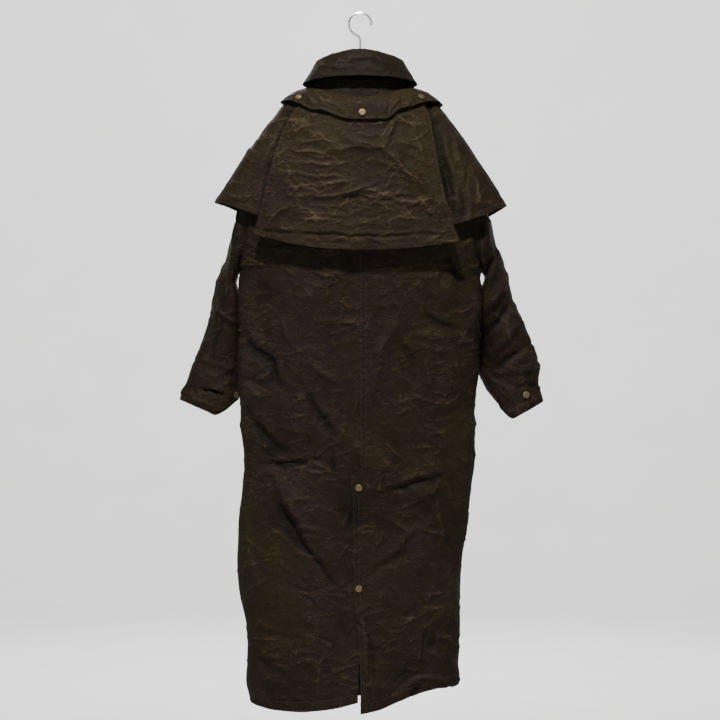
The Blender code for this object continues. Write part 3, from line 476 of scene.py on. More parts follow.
def sleeve_ring(side, number, angle):
    """Point on a sleeve at a ring number and an angle; 0 is the outer edge and 90 the back."""
    rings = SLEEVE_RINGS[side]
    values = {name: through(column(SLEEVE_COLUMNS, rings, name), number) for name in SLEEVE_COLUMNS}
    cosine, sine = math.cos(angle), math.sin(angle)
    middle_x = (values["outer_x"] + values["inner_x"]) / 2
    middle_z = (values["outer_z"] + values["inner_z"]) / 2
    x = middle_x + (values["outer_x"] - values["inner_x"]) / 2 * cosine + values["bow"] * sine ** 2
    z = middle_z + (values["outer_z"] - values["inner_z"]) / 2 * cosine
    z -= values["drop"] * drop_share(cosine, sine)
    y = values["middle_y"] + values["half_depth"] * sine
    return Vector((side * x, y, z))


def cape_values(number):
    """All columns of the cape's table at a ring number."""
    return {name: through(column(CAPE_COLUMNS, CAPE_RINGS, name), number) for name in CAPE_COLUMNS}


def cape_point(number, degrees, lift=0.0):
    """Point on the cape; 0 degrees is the left side, 90 the centre back, 180 the right side."""
    values = cape_values(number)
    angle = math.radians(degrees)
    cosine, sine = math.cos(angle), math.sin(angle)
    side = "left" if cosine >= 0 else "right"
    face = "back" if sine >= 0 else "front"
    half_width = values[side] + lift
    depth = values[face] + lift
    roundness = 2 / CAPE_ROUNDNESS
    x = math.copysign(half_width * abs(cosine) ** roundness, cosine)
    y = math.copysign(depth * abs(sine) ** roundness, sine)
    side_z = values["side_" + side]
    curve = CAPE_HEM_CURVE[LEFT if side == "left" else RIGHT]
    ease = 1 + (curve - 1) * min(number / CAPE_HEM_RING, 1.0)
    z = side_z + (values["z_" + face] - side_z) * (sine * sine) ** ease
    steep = blend(0.0, LIFT_RISE_RING, number)
    return Vector((x, y, z + LIFT_RISE * lift * (1 - steep)))


def cape_degrees(number, x):
    """Angle of the cape's back point at a given x."""
    values = cape_values(number)
    half_width = values["left"] if x >= 0 else values["right"]
    share = min(abs(x) / half_width, 1.0) ** (CAPE_ROUNDNESS / 2)
    angle = math.degrees(math.acos(share))
    return angle if x >= 0 else 180 - angle


def ring_point(size, degrees, z_side, z_back, z_front, curves=(1.0, 1.0)):
    """Point on a plain ring round the neck; size holds the half width, back and front depths."""
    half_width, back, front = size
    angle = math.radians(degrees)
    cosine, sine = math.cos(angle), math.sin(angle)
    y = (back if sine >= 0 else front) * sine
    end = z_back if sine >= 0 else z_front
    share = abs(sine) ** (2 * curves[0 if sine >= 0 else 1])
    return Vector((half_width * cosine, y, z_side + (end - z_side) * share))


def sleeve_rows(side):
    """Rows of one sleeve, from its armhole loop to its cuff; each row closes on itself."""
    loop = armhole_loop(side)
    steepness = shoulder_steepness(SHOULDER_TIP)
    top = loop[0].z
    rows = []
    for reach in (SEAM_GAP, ARMHOLE_BAND):
        row = []
        for point in loop:
            slope = steepness * (1 - blend(top, ARMHOLE_MIDDLE, point.z))
            away = Vector((side, 0, -slope)).normalized()
            row.append(point + away * reach)
        rows.append(row)
    angles = sleeve_angles(loop, top, UNDERARM)
    for number in range(len(SLEEVE_RINGS[side])):
        rows.append([sleeve_ring(side, number, angle) for angle in angles])
    return rows


def sleeve_angles(loop, top, foot):
    """Angle round the sleeve for each point of the armhole loop, from its height."""
    half = len(loop) // 2
    angles = []
    for index, point in enumerate(loop):
        share = (top - point.z) / (top - foot)
        angle = math.acos(max(min(1 - 2 * share, 1.0), -1.0))
        even = math.pi * index / half if index <= half else math.pi * (2 - index / half)
        angle += (even - angle) * SLEEVE_EVEN_SHARE
        angles.append(angle if index <= half else -angle)
    return angles


def cape_side_rows(side):
    """Rows of one cape side piece, from its lapped back edge round to the front."""
    rows = []
    for number in CAPE_SIDE_ROWS:
        edge = side * (through(PANEL_EDGES[side], number) - CAPE_LAP)
        start = cape_degrees(number, edge)
        end = -90.0 if side == LEFT else 270.0
        row = [cape_point(number, start + (end - start) * (step / CAPE_SIDE_STEPS))
               for step in range(CAPE_SIDE_STEPS + 1)]
        row[-1].x = side * CAPE_FRONT_GAP
        rows.append(row)
    return rows


def cape_back_rows():
    """Rows of the centre-back cape panel."""
    rows = []
    for number in PANEL_ROWS:
        left, right = through(PANEL_EDGES[LEFT], number), -through(PANEL_EDGES[RIGHT], number)
        row = []
        for step in range(PANEL_STEPS + 1):
            share = step / PANEL_STEPS
            x = left + (right - left) * share
            lift = PANEL_LIFT + PANEL_EDGE_LIFT * abs(2 * share - 1) ** 3
            point = cape_point(number, cape_degrees(number, x), lift)
            inside = min(left - x, x - right) / PANEL_FADE
            point.y += fold_relief(CAPE_FOLDS, x, point.z) * blend(0.0, 1.0, inside)
            row.append(point)
        rows.append(row)
    return rows


def flap_point(share, degrees):
    """Point on the neck flap; share runs from its neck seam to its edge."""
    spots, reach = zip(*column(FLAP_REACH_COLUMNS, FLAP_REACH, "ring", key="degrees"))
    edge = float(np.interp(degrees, spots, reach))
    lift = FLAP_SEAM_LIFT + (FLAP_LIFT - FLAP_SEAM_LIFT) * blend(0.0, FLAP_LIFT_SHARE, share)
    return cape_point(edge * share, degrees, lift)


def flap_rows():
    """Rows of the round flap over the top of the cape, open at the front."""
    return [[flap_point(share, FLAP_START + FLAP_SPAN * step / FLAP_STEPS)
             for step in range(FLAP_STEPS + 1)] for share in FLAP_ROWS]


def band_rows():
    """Rows of the narrow band between the cape's neck edge and the collar."""
    size = (BAND_HALF_WIDTH, BAND_DEPTH[BACK], BAND_DEPTH[FRONT])
    z_back, z_front = BAND_TOP - BAND_TOP_DROP[BACK], BAND_TOP - BAND_TOP_DROP[FRONT]
    rows = []
    for share in BAND_ROWS:
        row = []
        for step in range(BAND_STEPS + 1):
            degrees = BAND_START + BAND_SPAN * step / BAND_STEPS
            foot = cape_point(0.0, degrees)
            foot.z += BAND_FOOT_LIFT
            head = ring_point(size, degrees, BAND_TOP, z_back, z_front)
            row.append(head.lerp(foot, share))
        rows.append(row)
    return rows


def collar_rows():
    """Rows of the collar strip: its stand rises from the neck seam, turns over and falls outside."""
    rows = []
    for values in COLLAR_RINGS:
        ring = dict(zip(COLLAR_COLUMNS, values))
        size = (ring["half_width"], ring["back"], ring["front"])
        curves = (ring["back_curve"], ring["front_curve"])
        row = []
        for step in range(COLLAR_STEPS + 1):
            degrees = 90 - COLLAR_HALF_ANGLE + 2 * COLLAR_HALF_ANGLE * step / COLLAR_STEPS
            row.append(ring_point(size, degrees, ring["z_side"], ring["z_back"], ring["z_front"], curves))
        rows.append(row)
    return rows


def tab_point(side, number, degrees):
    """Point on a cuff tab, which lies on the back of the sleeve."""
    angle = math.radians(degrees)
    here = sleeve_ring(side, number, angle)
    ahead = sleeve_ring(side, number, angle + TAB_PROBE_ANGLE)
    below = sleeve_ring(side, number + TAB_PROBE_RING, angle)
    outward = (ahead - here).cross(below - here).normalized()
    if outward.y < 0:
        outward = -outward
    return here + outward * TAB_LIFT


def tab_rows(side):
    """Rows of the strap on the back of a cuff."""
    first, last = TAB_ANGLES[side]
    return [[tab_point(side, number, first + (last - first) * step / TAB_LENGTH_STEPS)
             for step in range(TAB_LENGTH_STEPS + 1)]
            for number in (TAB_RINGS[0], sum(TAB_RINGS) / 2, TAB_RINGS[1])]


# Cloth in the scene
WALL = 0.0013
HEM_WALL = 0.0024
HEM_DEPTH = 0.022
HEM_BLEND = 0.002
SHARP_ANGLE = 62.0
CELL = {"back": 0.0031, "front": 0.0058, "sleeve": 0.0043, "cape_back": 0.0026, "cape_side": 0.0034,
        "collar": 0.0030, "flap": 0.0028, "band": 0.0034, "tab": 0.0020}

# How strongly each area shows its placed and its scattered creases
CREASE_GAIN = {"cape": 2.4, "cape_side": 1.6, "body": 2.4, "sleeve_left": 2.6, "sleeve_right": 3.0,
               "collar": 3.2, "flap": 2.2, "front": 1.8}
SCATTER_GAIN = {"cape": 0.95, "cape_side": 1.1, "body": 1.6, "sleeve_left": 1.6, "sleeve_right": 1.8,
                "collar": 2.6, "flap": 1.8, "front": 1.5}
# Profile of a crease, in millimetres where it is a length
CREASE_END = 0.06
CREASE_TAPER = 0.8
CREASE_POWER = 1.5
CREASE_TILT = 1.6
CREASE_PAD_WIDTHS = 3.2
CREASE_PAD = 4
CREST_MOST = 1.6
CREST_WIDTH = 8
CREST_REACH = 1.3
WIDE_CREST_SHARE = 0.3
# Wandering of the creases: reach in millimetres and wavelength in metres, then the seeds for x and z
WARPS = ((2.0, 0.070, (3, 5)), (0.8, 0.017, (4, 6)))
RIPPLE_WAVES = 7
RIPPLE_STRETCH = (0.7, 1.5)
RIPPLE_HEIGHT = 2.6

# Creases given one by one, in millimetres: the line's points as x, z, x, z and so on, then the width, the
# height and the lean to one side
CREASES = {
    "cape": (
        ((-47, -290, -80, -322, -120, -362, -168, -417), 6, 3.4, 0.25),
        ((134, -402, 160, -420, 190, -448, 219, -477), 7, 3.2, -0.2),
        ((145, -396, 110, -393, 60, -391, 24, -388, -40, -378, -72, -369), 5, 2.6, 0.3),
        ((150, -362, 138, -378, 128, -390), 5, 1.8, 0.2),
        ((-51, -364, -20, -372, 10, -384, 50, -400), 5, 1.8, 0.2),
        ((165, -345, 130, -347, 90, -352, 40, -356), 4, 1.4, 0.4),
        ((150, -295, 100, -300, 50, -304), 4, 1.2, 0.3),
        ((60, -300, 20, -290, -20, -296, -47, -290), 5, 1.8, 0.2),
        ((40, -262, 10, -285, -47, -290, -60, -330), 5, 1.4, 0.0),
        ((-75, -240, -60, -270, -47, -290), 5, 1.4, 0.0),
        ((-100, -390, -60, -398, -20, -395), 5, 2.0, 0.5),
        ((-60, -400, -100, -408, -150, -402, -170, -410), 6, 1.8, 0.4),
        ((-10, -372, -50, -392, -80, -402), 4, 1.2, 0.2),
        ((-125, -407, -150, -428, -168, -446), 6, 2.4, -0.2),
        ((-20, -398, -50, -412, -70, -432), 4, 1.2, 0.2),
        ((20, -400, 45, -420, 60, -440), 4, 1.2, -0.2),
        ((120, -430, 60, -434, 0, -430), 4, 1.3, 0.4),
        ((130, -440, 90, -444, 40, -446), 4, 1.2, 0.4),
        ((-70, -440, -110, -438, -140, -444), 4, 1.0, 0.3),
        ((170, -320, 140, -326, 100, -322, 60, -330, 20, -322), 4, 1.0, 0.3),
        ((150, -275, 120, -280, 80, -276, 50, -282), 4, 1.0, 0.3),
        ((-90, -300, -120, -318, -150, -330), 4, 1.0, 0.0),
        ((-110, -260, -128, -300, -140, -340), 5, 1.2, 0.0),
        ((-60, -350, -90, -352, -130, -372), 4, 1.0, 0.2),
        ((45, -455, 0, -452, -60, -458), 5, 1.4, -0.3),
        ((218, -466, 150, -470, 60, -474, -40, -476, -120, -474, -205, -468), 4, -2.0, 0.7),
        ((20, -470, 0, -490, -15, -500), 5, 1.5, 0.2),
        ((90, -365, 60, -370, 20, -362), 3, 0.9, 0.3),
        ((110, -410, 70, -416, 30, -412), 3, 0.9, 0.3),
    ),
    "cape_side": (
        ((142, -190, 156, -250, 176, -320, 190, -380, 214, -450), 11, -6.0, 0.2),
        ((-150, -190, -162, -250, -176, -320, -190, -380, -205, -450), 11, -6.0, 0.2),
        ((-214, -300, -222, -350, -226, -400, -222, -450), 8, -5.0, 0.3),
        ((170, -235, 190, -300, 222, -360, 240, -392), 14, 5.5, 0.5),
        ((150, -230, 165, -290, 178, -350, 195, -415), 12, -4.0, 0.3),
        ((205, -260, 235, -320, 265, -372), 12, 3.4, 0.3),
        ((-160, -230, -176, -290, -188, -350, -196, -420), 11, -5.5, 0.4),
        ((-185, -240, -205, -300, -212, -352, -224, -402, -222, -440), 9, 5.5, -0.6),
        ((-205, -262, -235, -318, -270, -372), 10, 3.0, -0.3),
        ((-228, -392, -250, -402, -262, -428), 8, 3.0, 0.4),
        ((-235, -340, -250, -375, -258, -412), 7, 2.6, -0.4),
        ((-265, -400, -285, -412, -300, -404), 7, 2.4, 0.4),
        ((-232, -420, -260, -418, -290, -424), 7, -2.0, 0.4),
        ((285, -385, 255, -392, 225, -396), 7, 2.4, 0.5),
        ((262, -410, 240, -398, 215, -402), 8, -2.4, 0.5),
        ((290, -362, 262, -360, 236, -366), 5, 1.6, 0.4),
    ),
    "body": (
        ((244, -490, 249, -570, 252, -650), 20, 1.9, 0.0),
        ((-244, -490, -249, -570, -252, -650), 20, 1.9, 0.0),
        ((254, -662, 227, -701, 196, -728, 182, -738, 171, -780, 141, -812), 11, -4.2, 0.55),
        ((247, -735, 240, -790, 199, -824), 13, 3.4, 0.3),
        ((113, -738, 75, -762, 47, -780), 9, 2.6, 0.4),
        ((116, -794, 75, -856, 54, -898), 9, -3.8, 0.6),
        ((251, -818, 224, -860, 185, -905, 154, -932), 12, -4.2, 0.6),
        ((207, -955, 150, -952, 81, -943), 7, -3.0, 0.6),
        ((60, -929, 50, -990), 8, -2.2, 0.4),
        ((185, -992, 161, -1040, 133, -1093, 116, -1124, 78, -1169, 47, -1207), 9, -5.0, 0.6),
        ((170, -1000, 140, -1060, 118, -1100), 12, 3.2, 0.0),
        ((225, -1010, 236, -1080, 232, -1160, 205, -1230), 14, 3.0, 0.3),
        ((230, -1050, 222, -1130, 206, -1200), 8, -2.0, 0.4),
        ((210, -1370, 154, -1376), 7, -2.4, 0.6),
        ((215, -1380, 190, -1410, 150, -1425), 10, 2.2, 0.3),
        ((150, -1030, 90, -1026), 5, 1.4, 0.5),
        ((150, -1085, 70, -1096), 5, 1.6, 0.5),
        ((140, -1105, 80, -1110), 5, 1.4, 0.5),
        ((130, -1145, 70, -1150), 5, 1.2, 0.4),
        ((-78, -652, -43, -721, -26, -790, -19, -824), 13, 4.0, -0.3),
        ((-85, -686, -102, -721, -126, -752), 8, -3.0, 0.5),
        ((-130, -630, -181, -662, -250, -680), 7, -2.4, 0.5),
        ((-95, -684, -150, -680, -190, -690), 6, 1.6, 0.4),
        ((-110, -700, -160, -716, -205, -712), 6, 1.6, 0.4),
        ((-192, -513, -210, -555, -244, -583), 11, -4.4, 0.6),
        ((-215, -510, -240, -548), 9, 3.2, -0.3),
        ((-108, -818, -160, -824, -217, -832), 4, 1.3, 0.5),
        ((-60, -820, -100, -848), 5, 1.4, 0.4),
        ((-70, -760, -110, -782, -125, -800), 6, 1.8, 0.4),
        ((-53, -1013, -113, -992, -181, -977), 9, -3.8, 0.6),
        ((-120, -1030, -170, -1000), 7, 2.2, 0.3),
        ((-30, -1179, -78, -1144, -130, -1085), 10, -3.0, 0.5),
        ((-60, -1150, -110, -1105, -140, -1090), 9, 2.4, 0.3),
        ((-40, -1060, -100, -1095, -170, -1075), 8, 1.6, 0.3),
        ((-8, -1290, -22, -1330, -34, -1390, -26, -1440), 8, -2.6, 0.5),
        ((-4, -1270, -12, -1330, -14, -1400), 6, 2.2, 0.3),
        ((-136, -1282, -126, -1370), 9, 2.8, 0.3),
        ((-165, -1300, -150, -1370, -140, -1400), 10, -2.0, 0.3),
        ((-70, -1448, -110, -1410, -144, -1404, -199, -1414), 9, 3.4, 0.3),
        ((-95, -1452, -125, -1425), 7, -3.0, 0.4),
        ((-190, -1160, -196, -1230, -188, -1290), 9, 2.4, -0.3),
        ((80, -560, 60, -640, 66, -700), 16, 1.6, 0.0),
        ((170, -560, 150, -640), 18, 2.0, 0.0),
    ),
    "sleeve_left": (
        ((256, -490, 252, -560, 246, -650), 22, 2.8, 0.0),
        ((273, -490, 282, -596, 304, -627, 328, -702), 5, 2.4, 0.4),
        ((285, -652, 305, -700, 322, -749), 7, -2.4, 0.5),
        ((340, -794, 288, -815), 4, -3.6, 0.7),
        ((262, -560, 250, -610, 252, -650), 9, -3.6, 0.5),
        ((300, -560, 275, -590), 8, 2.4, 0.3),
        ((318, -610, 290, -640, 262, -652), 6, 2.0, 0.4),
        ((350, -730, 300, -745, 265, -752), 5, 1.6, 0.5),
        ((310, -520, 288, -540), 7, 2.0, 0.3),
        ((372, -812, 330, -826, 296, -850), 7, 2.0, 0.3),
        ((384, -800, 350, -812), 5, 1.8, 0.3),
    ),
    "sleeve_right": (
        ((-256, -490, -252, -560, -246, -650), 22, 2.8, 0.0),
        ((-295, -500, -270, -560, -256, -600), 9, -4.0, 0.6),
        ((-318, -560, -290, -610, -258, -645), 10, 4.0, 0.5),
        ((-330, -610, -300, -660, -262, -690), 8, -4.0, 0.6),
        ((-345, -650, -310, -700, -280, -730), 9, 3.6, 0.4),
        ((-370, -700, -330, -735, -290, -760), 8, -3.4, 0.6),
        ((-384, -748, -340, -765, -310, -768), 7, 2.6, 0.4),
        ((-390, -790, -350, -800, -315, -790), 5, -2.6, 0.6),
        ((-392, -815, -360, -835, -330, -856), 7, 2.2, 0.3),
        ((-300, -540, -312, -590), 7, 2.0, 0.0),
    ),
    "collar": (
        ((60, -92, 20, -104, -30, -100, -70, -118), 5, 1.8, 0.4),
        ((-20, -88, -45, -112, -60, -125), 5, 1.6, 0.3),
        ((90, -112, 50, -118, 10, -124), 4, 1.4, 0.4),
        ((-50, -96, -80, -120), 5, 1.4, 0.3),
        ((40, -100, 55, -130), 5, 1.2, 0.2),
        ((-10, -120, -60, -132), 4, 1.0, 0.4),
    ),
    "flap": (
        ((110, -176, 85, -205), 5, 2.0, 0.4),
        ((140, -182, 118, -200), 5, 1.8, 0.3),
        ((95, -168, 70, -210), 5, 1.6, 0.4),
        ((-60, -180, -52, -226), 5, 2.4, 0.5),
        ((-85, -186, -60, -226), 5, 2.0, 0.3),
        ((-110, -186, -95, -212), 5, 1.6, 0.3),
        ((-140, -182, -150, -212), 6, 1.8, 0.3),
        ((40, -190, 0, -198, -30, -192), 4, 1.0, 0.4),
        ((60, -200, 30, -216), 4, 1.2, 0.3),
    ),
    "front": (
        ((180, -560, 120, -660, 70, -740), 16, 3.6, 0.3),
        ((-190, -560, -130, -680, -80, -760), 16, 3.4, 0.3),
        ((220, -720, 160, -800, 120, -860), 12, -3.6, 0.5),
        ((-220, -740, -170, -820, -110, -880), 12, -3.4, 0.5),
        ((190, -980, 130, -1080, 90, -1180), 12, 3.8, 0.4),
        ((-190, -1000, -120, -1090, -80, -1150), 12, 3.4, 0.4),
        ((200, -1200, 150, -1290, 130, -1380), 13, -3.0, 0.4),
        ((-180, -1220, -150, -1300, -120, -1400), 13, -3.0, 0.4),
        ((120, -420, 80, -480), 10, 2.4, 0.2),
        ((-130, -400, -90, -470), 10, 2.4, 0.2),
    ),
}

# Small creases scattered over each area: how many, the box in millimetres, the usual direction in
# degrees and its spread, then ranges of length, width and height in millimetres
SCATTER_COLUMNS = ("count", "x0", "z0", "x1", "z1", "turn", "spread", "length", "width", "height")
SCATTER = {
    "cape": ((260, -225, -500, 225, -215, 2, 26, (18, 100), (2.2, 3.6), (0.7, 2.0)),
             (110, -225, -500, 225, -215, 5, 60, (30, 110), (6, 12), (-2.6, 2.8))),
    "cape_side": ((170, -330, -470, 330, -200, 0, 40, (14, 60), (2.4, 4.4), (0.6, 1.9)),
                  (80, -330, -470, 330, -200, 60, 50, (40, 110), (7, 15), (-3.0, 3.2))),
    "body": ((600, -262, -1480, 262, -480, 4, 34, (16, 90), (2.4, 4.0), (0.5, 1.6)),
             (200, -262, -1480, 262, -420, 60, 60, (40, 150), (6, 13), (-2.0, 2.2))),
    "front": ((200, -262, -1480, 262, -420, 0, 35, (20, 80), (3.5, 6.0), (0.4, 1.2)),
              (120, -262, -1480, 262, -420, 40, 70, (40, 120), (9, 18), (-2.0, 2.2))),
    "sleeve_left": ((90, 235, -880, 410, -420, 15, 35, (12, 50), (2.4, 4.4), (0.5, 1.5)),
                    (40, 235, -880, 410, -420, 60, 50, (25, 80), (7, 13), (-2.4, 2.6))),
    "sleeve_right": ((100, -410, -880, -235, -420, 40, 30, (14, 60), (2.4, 4.4), (0.5, 1.8)),
                     (46, -410, -880, -235, -420, 45, 30, (30, 90), (7, 13), (-3.2, 3.4))),
    "collar": ((60, -130, -160, 130, -80, 5, 40, (8, 36), (1.8, 3.2), (0.3, 0.9)),),
    "flap": ((50, -180, -240, 180, -150, 60, 60, (8, 36), (1.8, 3.4), (0.3, 1.0)),),
}
SCATTER_SEED = {"cape": 11, "cape_side": 12, "body": 13, "front": 14, "sleeve_left": 15, "sleeve_right": 16,
                "collar": 17, "flap": 18}
SCATTER_BEND = 0.12
SCATTER_LEAN = 0.5
MIRRORED_AREAS = ("cape_side", "front")


def refined(points, count, closed=False):
    """Grid of points read off smooth curves along its rows, at count even places."""
    if closed:
        points = np.concatenate([points[:, -2:], points, points[:, :3]], axis=1)
    steps = np.diff(points, axis=1)
    spans = np.linalg.norm(steps, axis=2) + 1e-9
    chords = steps / spans[..., None]
    before, after = spans[:, :-1, None], spans[:, 1:, None]
    slopes = np.empty_like(points)
    slopes[:, 1:-1] = (chords[:, :-1] * after + chords[:, 1:] * before) / (before + after)
    slopes[:, 0], slopes[:, -1] = chords[:, 0], chords[:, -1]
    mean = spans.mean(axis=0)
    spots = np.concatenate([[0.0], np.cumsum(mean)])
    first, last = (2, len(spots) - 3) if closed else (0, len(spots) - 1)
    places = np.linspace(spots[first], spots[last], count)
    index = np.clip(np.searchsorted(spots, places, side="right") - 1, first, last - 1)
    t = ((places - spots[index]) / mean[index])[None, :, None]
    reach = spans[:, index, None]
    return hermite(t, points[:, index], points[:, index + 1], slopes[:, index] * reach,
                   slopes[:, index + 1] * reach)


def fine_grid(rows, cell, around=False):
    """Fine grid of points through a piece's rows, with cells of about the given size."""
    points = np.array([[tuple(point) for point in row] for row in rows])
    loop = np.concatenate([points, points[:, :1]], axis=1) if around else points
    width = np.linalg.norm(np.diff(loop, axis=1), axis=2).sum(axis=1).max()
    length = np.linalg.norm(np.diff(points, axis=0), axis=2).sum(axis=0).mean()
    across = refined(points, int(width / cell) + 2, closed=around)
    if around:
        across = across[:, :-1]
    down = refined(across.transpose(1, 0, 2), int(length / cell) + 2)
    return down.transpose(1, 0, 2)


def grid_normals(grid, flip, around=False):
    """Directions square to a grid at its points; flip turns them to its other side."""
    if around:
        wide = np.concatenate([grid[:, -1:], grid, grid[:, :1]], axis=1)
        across = wide[:, 2:] - wide[:, :-2]
    else:
        across = np.gradient(grid, axis=1)
    normals = np.cross(across, np.gradient(grid, axis=0))
    normals /= np.linalg.norm(normals, axis=2, keepdims=True) + 1e-12
    return normals if flip else -normals


def smooth_step(start, end, values):
    """0 before start, 1 after end, smooth between them, for arrays."""
    t = np.clip((values - start) / (end - start), 0.0, 1.0)
    return t * t * (3 - 2 * t)


def ripple(x, z, seed, wavelength):
    """Smooth random waves of about unit height over a plane."""
    rng = np.random.default_rng(seed)
    total = np.zeros_like(x)
    for _ in range(RIPPLE_WAVES):
        turn, phase = rng.uniform(0, math.pi), rng.uniform(0, 2 * math.pi)
        rate = 2 * math.pi / (wavelength * rng.uniform(*RIPPLE_STRETCH))
        total += np.sin(rate * (x * math.cos(turn) + z * math.sin(turn)) + phase)
    return total / RIPPLE_HEIGHT


def scattered(area):
    """Seeded small creases of one area, in the form of the listed ones."""
    rng = np.random.default_rng(SCATTER_SEED.get(area, 0))
    made = []
    for row in SCATTER.get(area, ()):
        spec = dict(zip(SCATTER_COLUMNS, row))
        for _ in range(spec["count"]):
            middle = np.array([rng.uniform(spec["x0"], spec["x1"]), rng.uniform(spec["z0"], spec["z1"])])
            turn = math.radians(spec["turn"] + rng.normal() * spec["spread"])
            if area in MIRRORED_AREAS and middle[0] < 0:
                turn = -turn
            half = rng.uniform(*spec["length"]) / 2
            along = np.array([math.cos(turn), math.sin(turn)]) * half
            beside = np.array([-along[1], along[0]]) * rng.normal() * SCATTER_BEND
            points = np.concatenate([middle - along, middle + beside, middle + along])
            width = rng.uniform(*spec["width"])
            height = SCATTER_GAIN[area] * rng.uniform(*spec["height"])
            made.append((points, width, height, rng.uniform(-SCATTER_LEAN, SCATTER_LEAN)))
    return made


def polyline_relief(x, z, crease):
    """Height of one crease at points in millimetres, and the share of its crest there."""
    points, width, height, lean = crease
    points = np.asarray(points, float).reshape(-1, 2)
    lengths = np.linalg.norm(np.diff(points, axis=0), axis=1)
    total = lengths.sum()
    best = np.full(x.shape, np.inf)
    signed = np.zeros(x.shape)
    travel = np.zeros(x.shape)
    passed = 0.0
    for start, end, length in zip(points, points[1:], lengths):
        along = (end - start) / length
        dx, dz = x - start[0], z - start[1]
        reach = np.clip(dx * along[0] + dz * along[1], 0.0, length)
        distance = np.hypot(dx - reach * along[0], dz - reach * along[1])
        nearer = distance < best
        best = np.where(nearer, distance, best)
        side = dz * along[0] - dx * along[1]
        signed = np.where(nearer, np.copysign(distance, side), signed)
        travel = np.where(nearer, (passed + reach) / total, travel)
        passed += length
    taper = np.sin(math.pi * (CREASE_END + (1 - 2 * CREASE_END) * travel)) ** CREASE_TAPER
    bell = np.exp(-(best / width) ** CREASE_POWER)
    tilt = CREASE_TILT * (signed / width) * bell
    relief = height * taper * ((1 - abs(lean)) * bell + lean * tilt)
    sharp = min(abs(height), CREST_MOST) * (1.0 if width < CREST_WIDTH else WIDE_CREST_SHARE)
    crest = np.exp(-(best / CREST_REACH) ** 2) * taper * math.copysign(sharp, height)
    return relief, crest


def area_relief(area, grid):
    """Height in metres and crest of an area's creases over a grid of points."""
    x, z = grid[..., 0], grid[..., 2]
    spots = [x.ravel() * 1000, z.ravel() * 1000]
    for reach, wavelength, seeds in WARPS:
        for axis, seed in enumerate(seeds):
            spots[axis] = spots[axis] + reach * ripple(x, z, seed, wavelength).ravel()
    relief, crest = np.zeros(x.size), np.zeros(x.size)
    placed = [(points, width, CREASE_GAIN[area] * height, lean)
              for points, width, height, lean in CREASES.get(area, ())]
    for crease in placed + scattered(area):
        points = np.asarray(crease[0], float).reshape(-1, 2)
        pad = CREASE_PAD_WIDTHS * crease[1] + CREASE_PAD
        inside = [(spot > line.min() - pad) & (spot < line.max() + pad) for spot, line in zip(spots, points.T)]
        near = np.flatnonzero(inside[0] & inside[1])
        if near.size:
            height, top = polyline_relief(spots[0][near], spots[1][near], crease)
            relief[near] += height
            crest[near] += top
    return relief.reshape(x.shape) / 1000, crest.reshape(x.shape)


def edge_distance(grid, edge):
    """Distance of each point of a grid from one of its edges: start, end, top or foot."""
    axis = 1 if edge in ("start", "end") else 0
    steps = np.linalg.norm(np.diff(grid, axis=axis), axis=2)
    if edge in ("end", "foot"):
        steps = np.flip(steps, axis=axis)
    shape = list(grid.shape[:2])
    shape[axis] = 1
    distance = np.concatenate([np.zeros(shape), np.cumsum(steps, axis=axis)], axis=axis)
    return np.flip(distance, axis=axis) if edge in ("end", "foot") else distance


def line_along(grid, normals, edge, distance):
    """Points and normals of the line at a distance from an edge of a grid."""
    from_edge = edge_distance(grid, edge)
    if edge in ("start", "end"):
        grid, normals, from_edge = grid.transpose(1, 0, 2), normals.transpose(1, 0, 2), from_edge.T
    if edge in ("end", "foot"):
        grid, normals, from_edge = grid[::-1], normals[::-1], from_edge[::-1]
    index = np.clip((from_edge < distance).sum(axis=0), 1, len(grid) - 1)
    columns = np.arange(grid.shape[1])
    low, high = from_edge[index - 1, columns], from_edge[index, columns]
    t = np.clip((distance - low) / (high - low + 1e-9), 0, 1)[:, None]
    return [field[index - 1, columns] * (1 - t) + field[index, columns] * t for field in (grid, normals)]


def add_object(name, mesh):
    """New smooth-shaded object of the scene from a mesh."""
    mesh.shade_smooth()
    made = bpy.data.objects.new(name, mesh)
    bpy.context.scene.collection.objects.link(made)
    return made


def add_mesh(name, verts, faces):
    """New object of the scene from points and faces."""
    mesh = bpy.data.meshes.new(name)
    mesh.from_pydata([tuple(vert) for vert in verts], [], faces)
    return add_object(name, mesh)


def ring_faces(first, rings, turns):
    """Quads between closed rings of points, whose numbers run on from the first."""
    faces = []
    for low in range(first, first + (rings - 1) * turns, turns):
        for turn in range(turns):
            after = (turn + 1) % turns
            faces.append((low + turn, low + after, low + turns + after, low + turns + turn))
    return faces


def shell_faces(rows, columns, around):
    """Quads of a closed shell over a grid: outer side, inner side and rims."""
    count = rows * columns
    number = np.arange(count).reshape(rows, columns)
    if around:
        number = np.concatenate([number, number[:, :1]], axis=1)
    corners = (number[:-1, :-1], number[:-1, 1:], number[1:, 1:], number[1:, :-1])
    quads = np.stack([corner.ravel() for corner in corners], axis=1)
    faces = [quads, quads[:, ::-1] + count]
    rims = [number[0], number[-1][::-1]]
    if not around:
        rims += [number[:, 0][::-1], number[:, -1]]
    for rim in rims:
        first, second = rim[:-1], rim[1:]
        faces.append(np.stack([second, first, first + count, second + count], axis=1))
    return np.concatenate(faces)


def add_cut(mesh, grid):
    """Map of a cloth mesh that lays it flat, with lengths in metres, for the weave."""
    rows, columns = grid.shape[:2]
    across, down = edge_distance(grid, "start").mean(axis=0), edge_distance(grid, "top").mean(axis=1)
    flat = np.stack(np.broadcast_arrays(across[None, :], down[:, None]), axis=2).reshape(-1, 2)
    order = np.zeros(len(mesh.loops), np.int32)
    mesh.loops.foreach_get("vertex_index", order)
    layer = mesh.uv_layers.new(name="cut")
    layer.data.foreach_set("uv", flat[order % (rows * columns)].astype(np.float32).ravel())


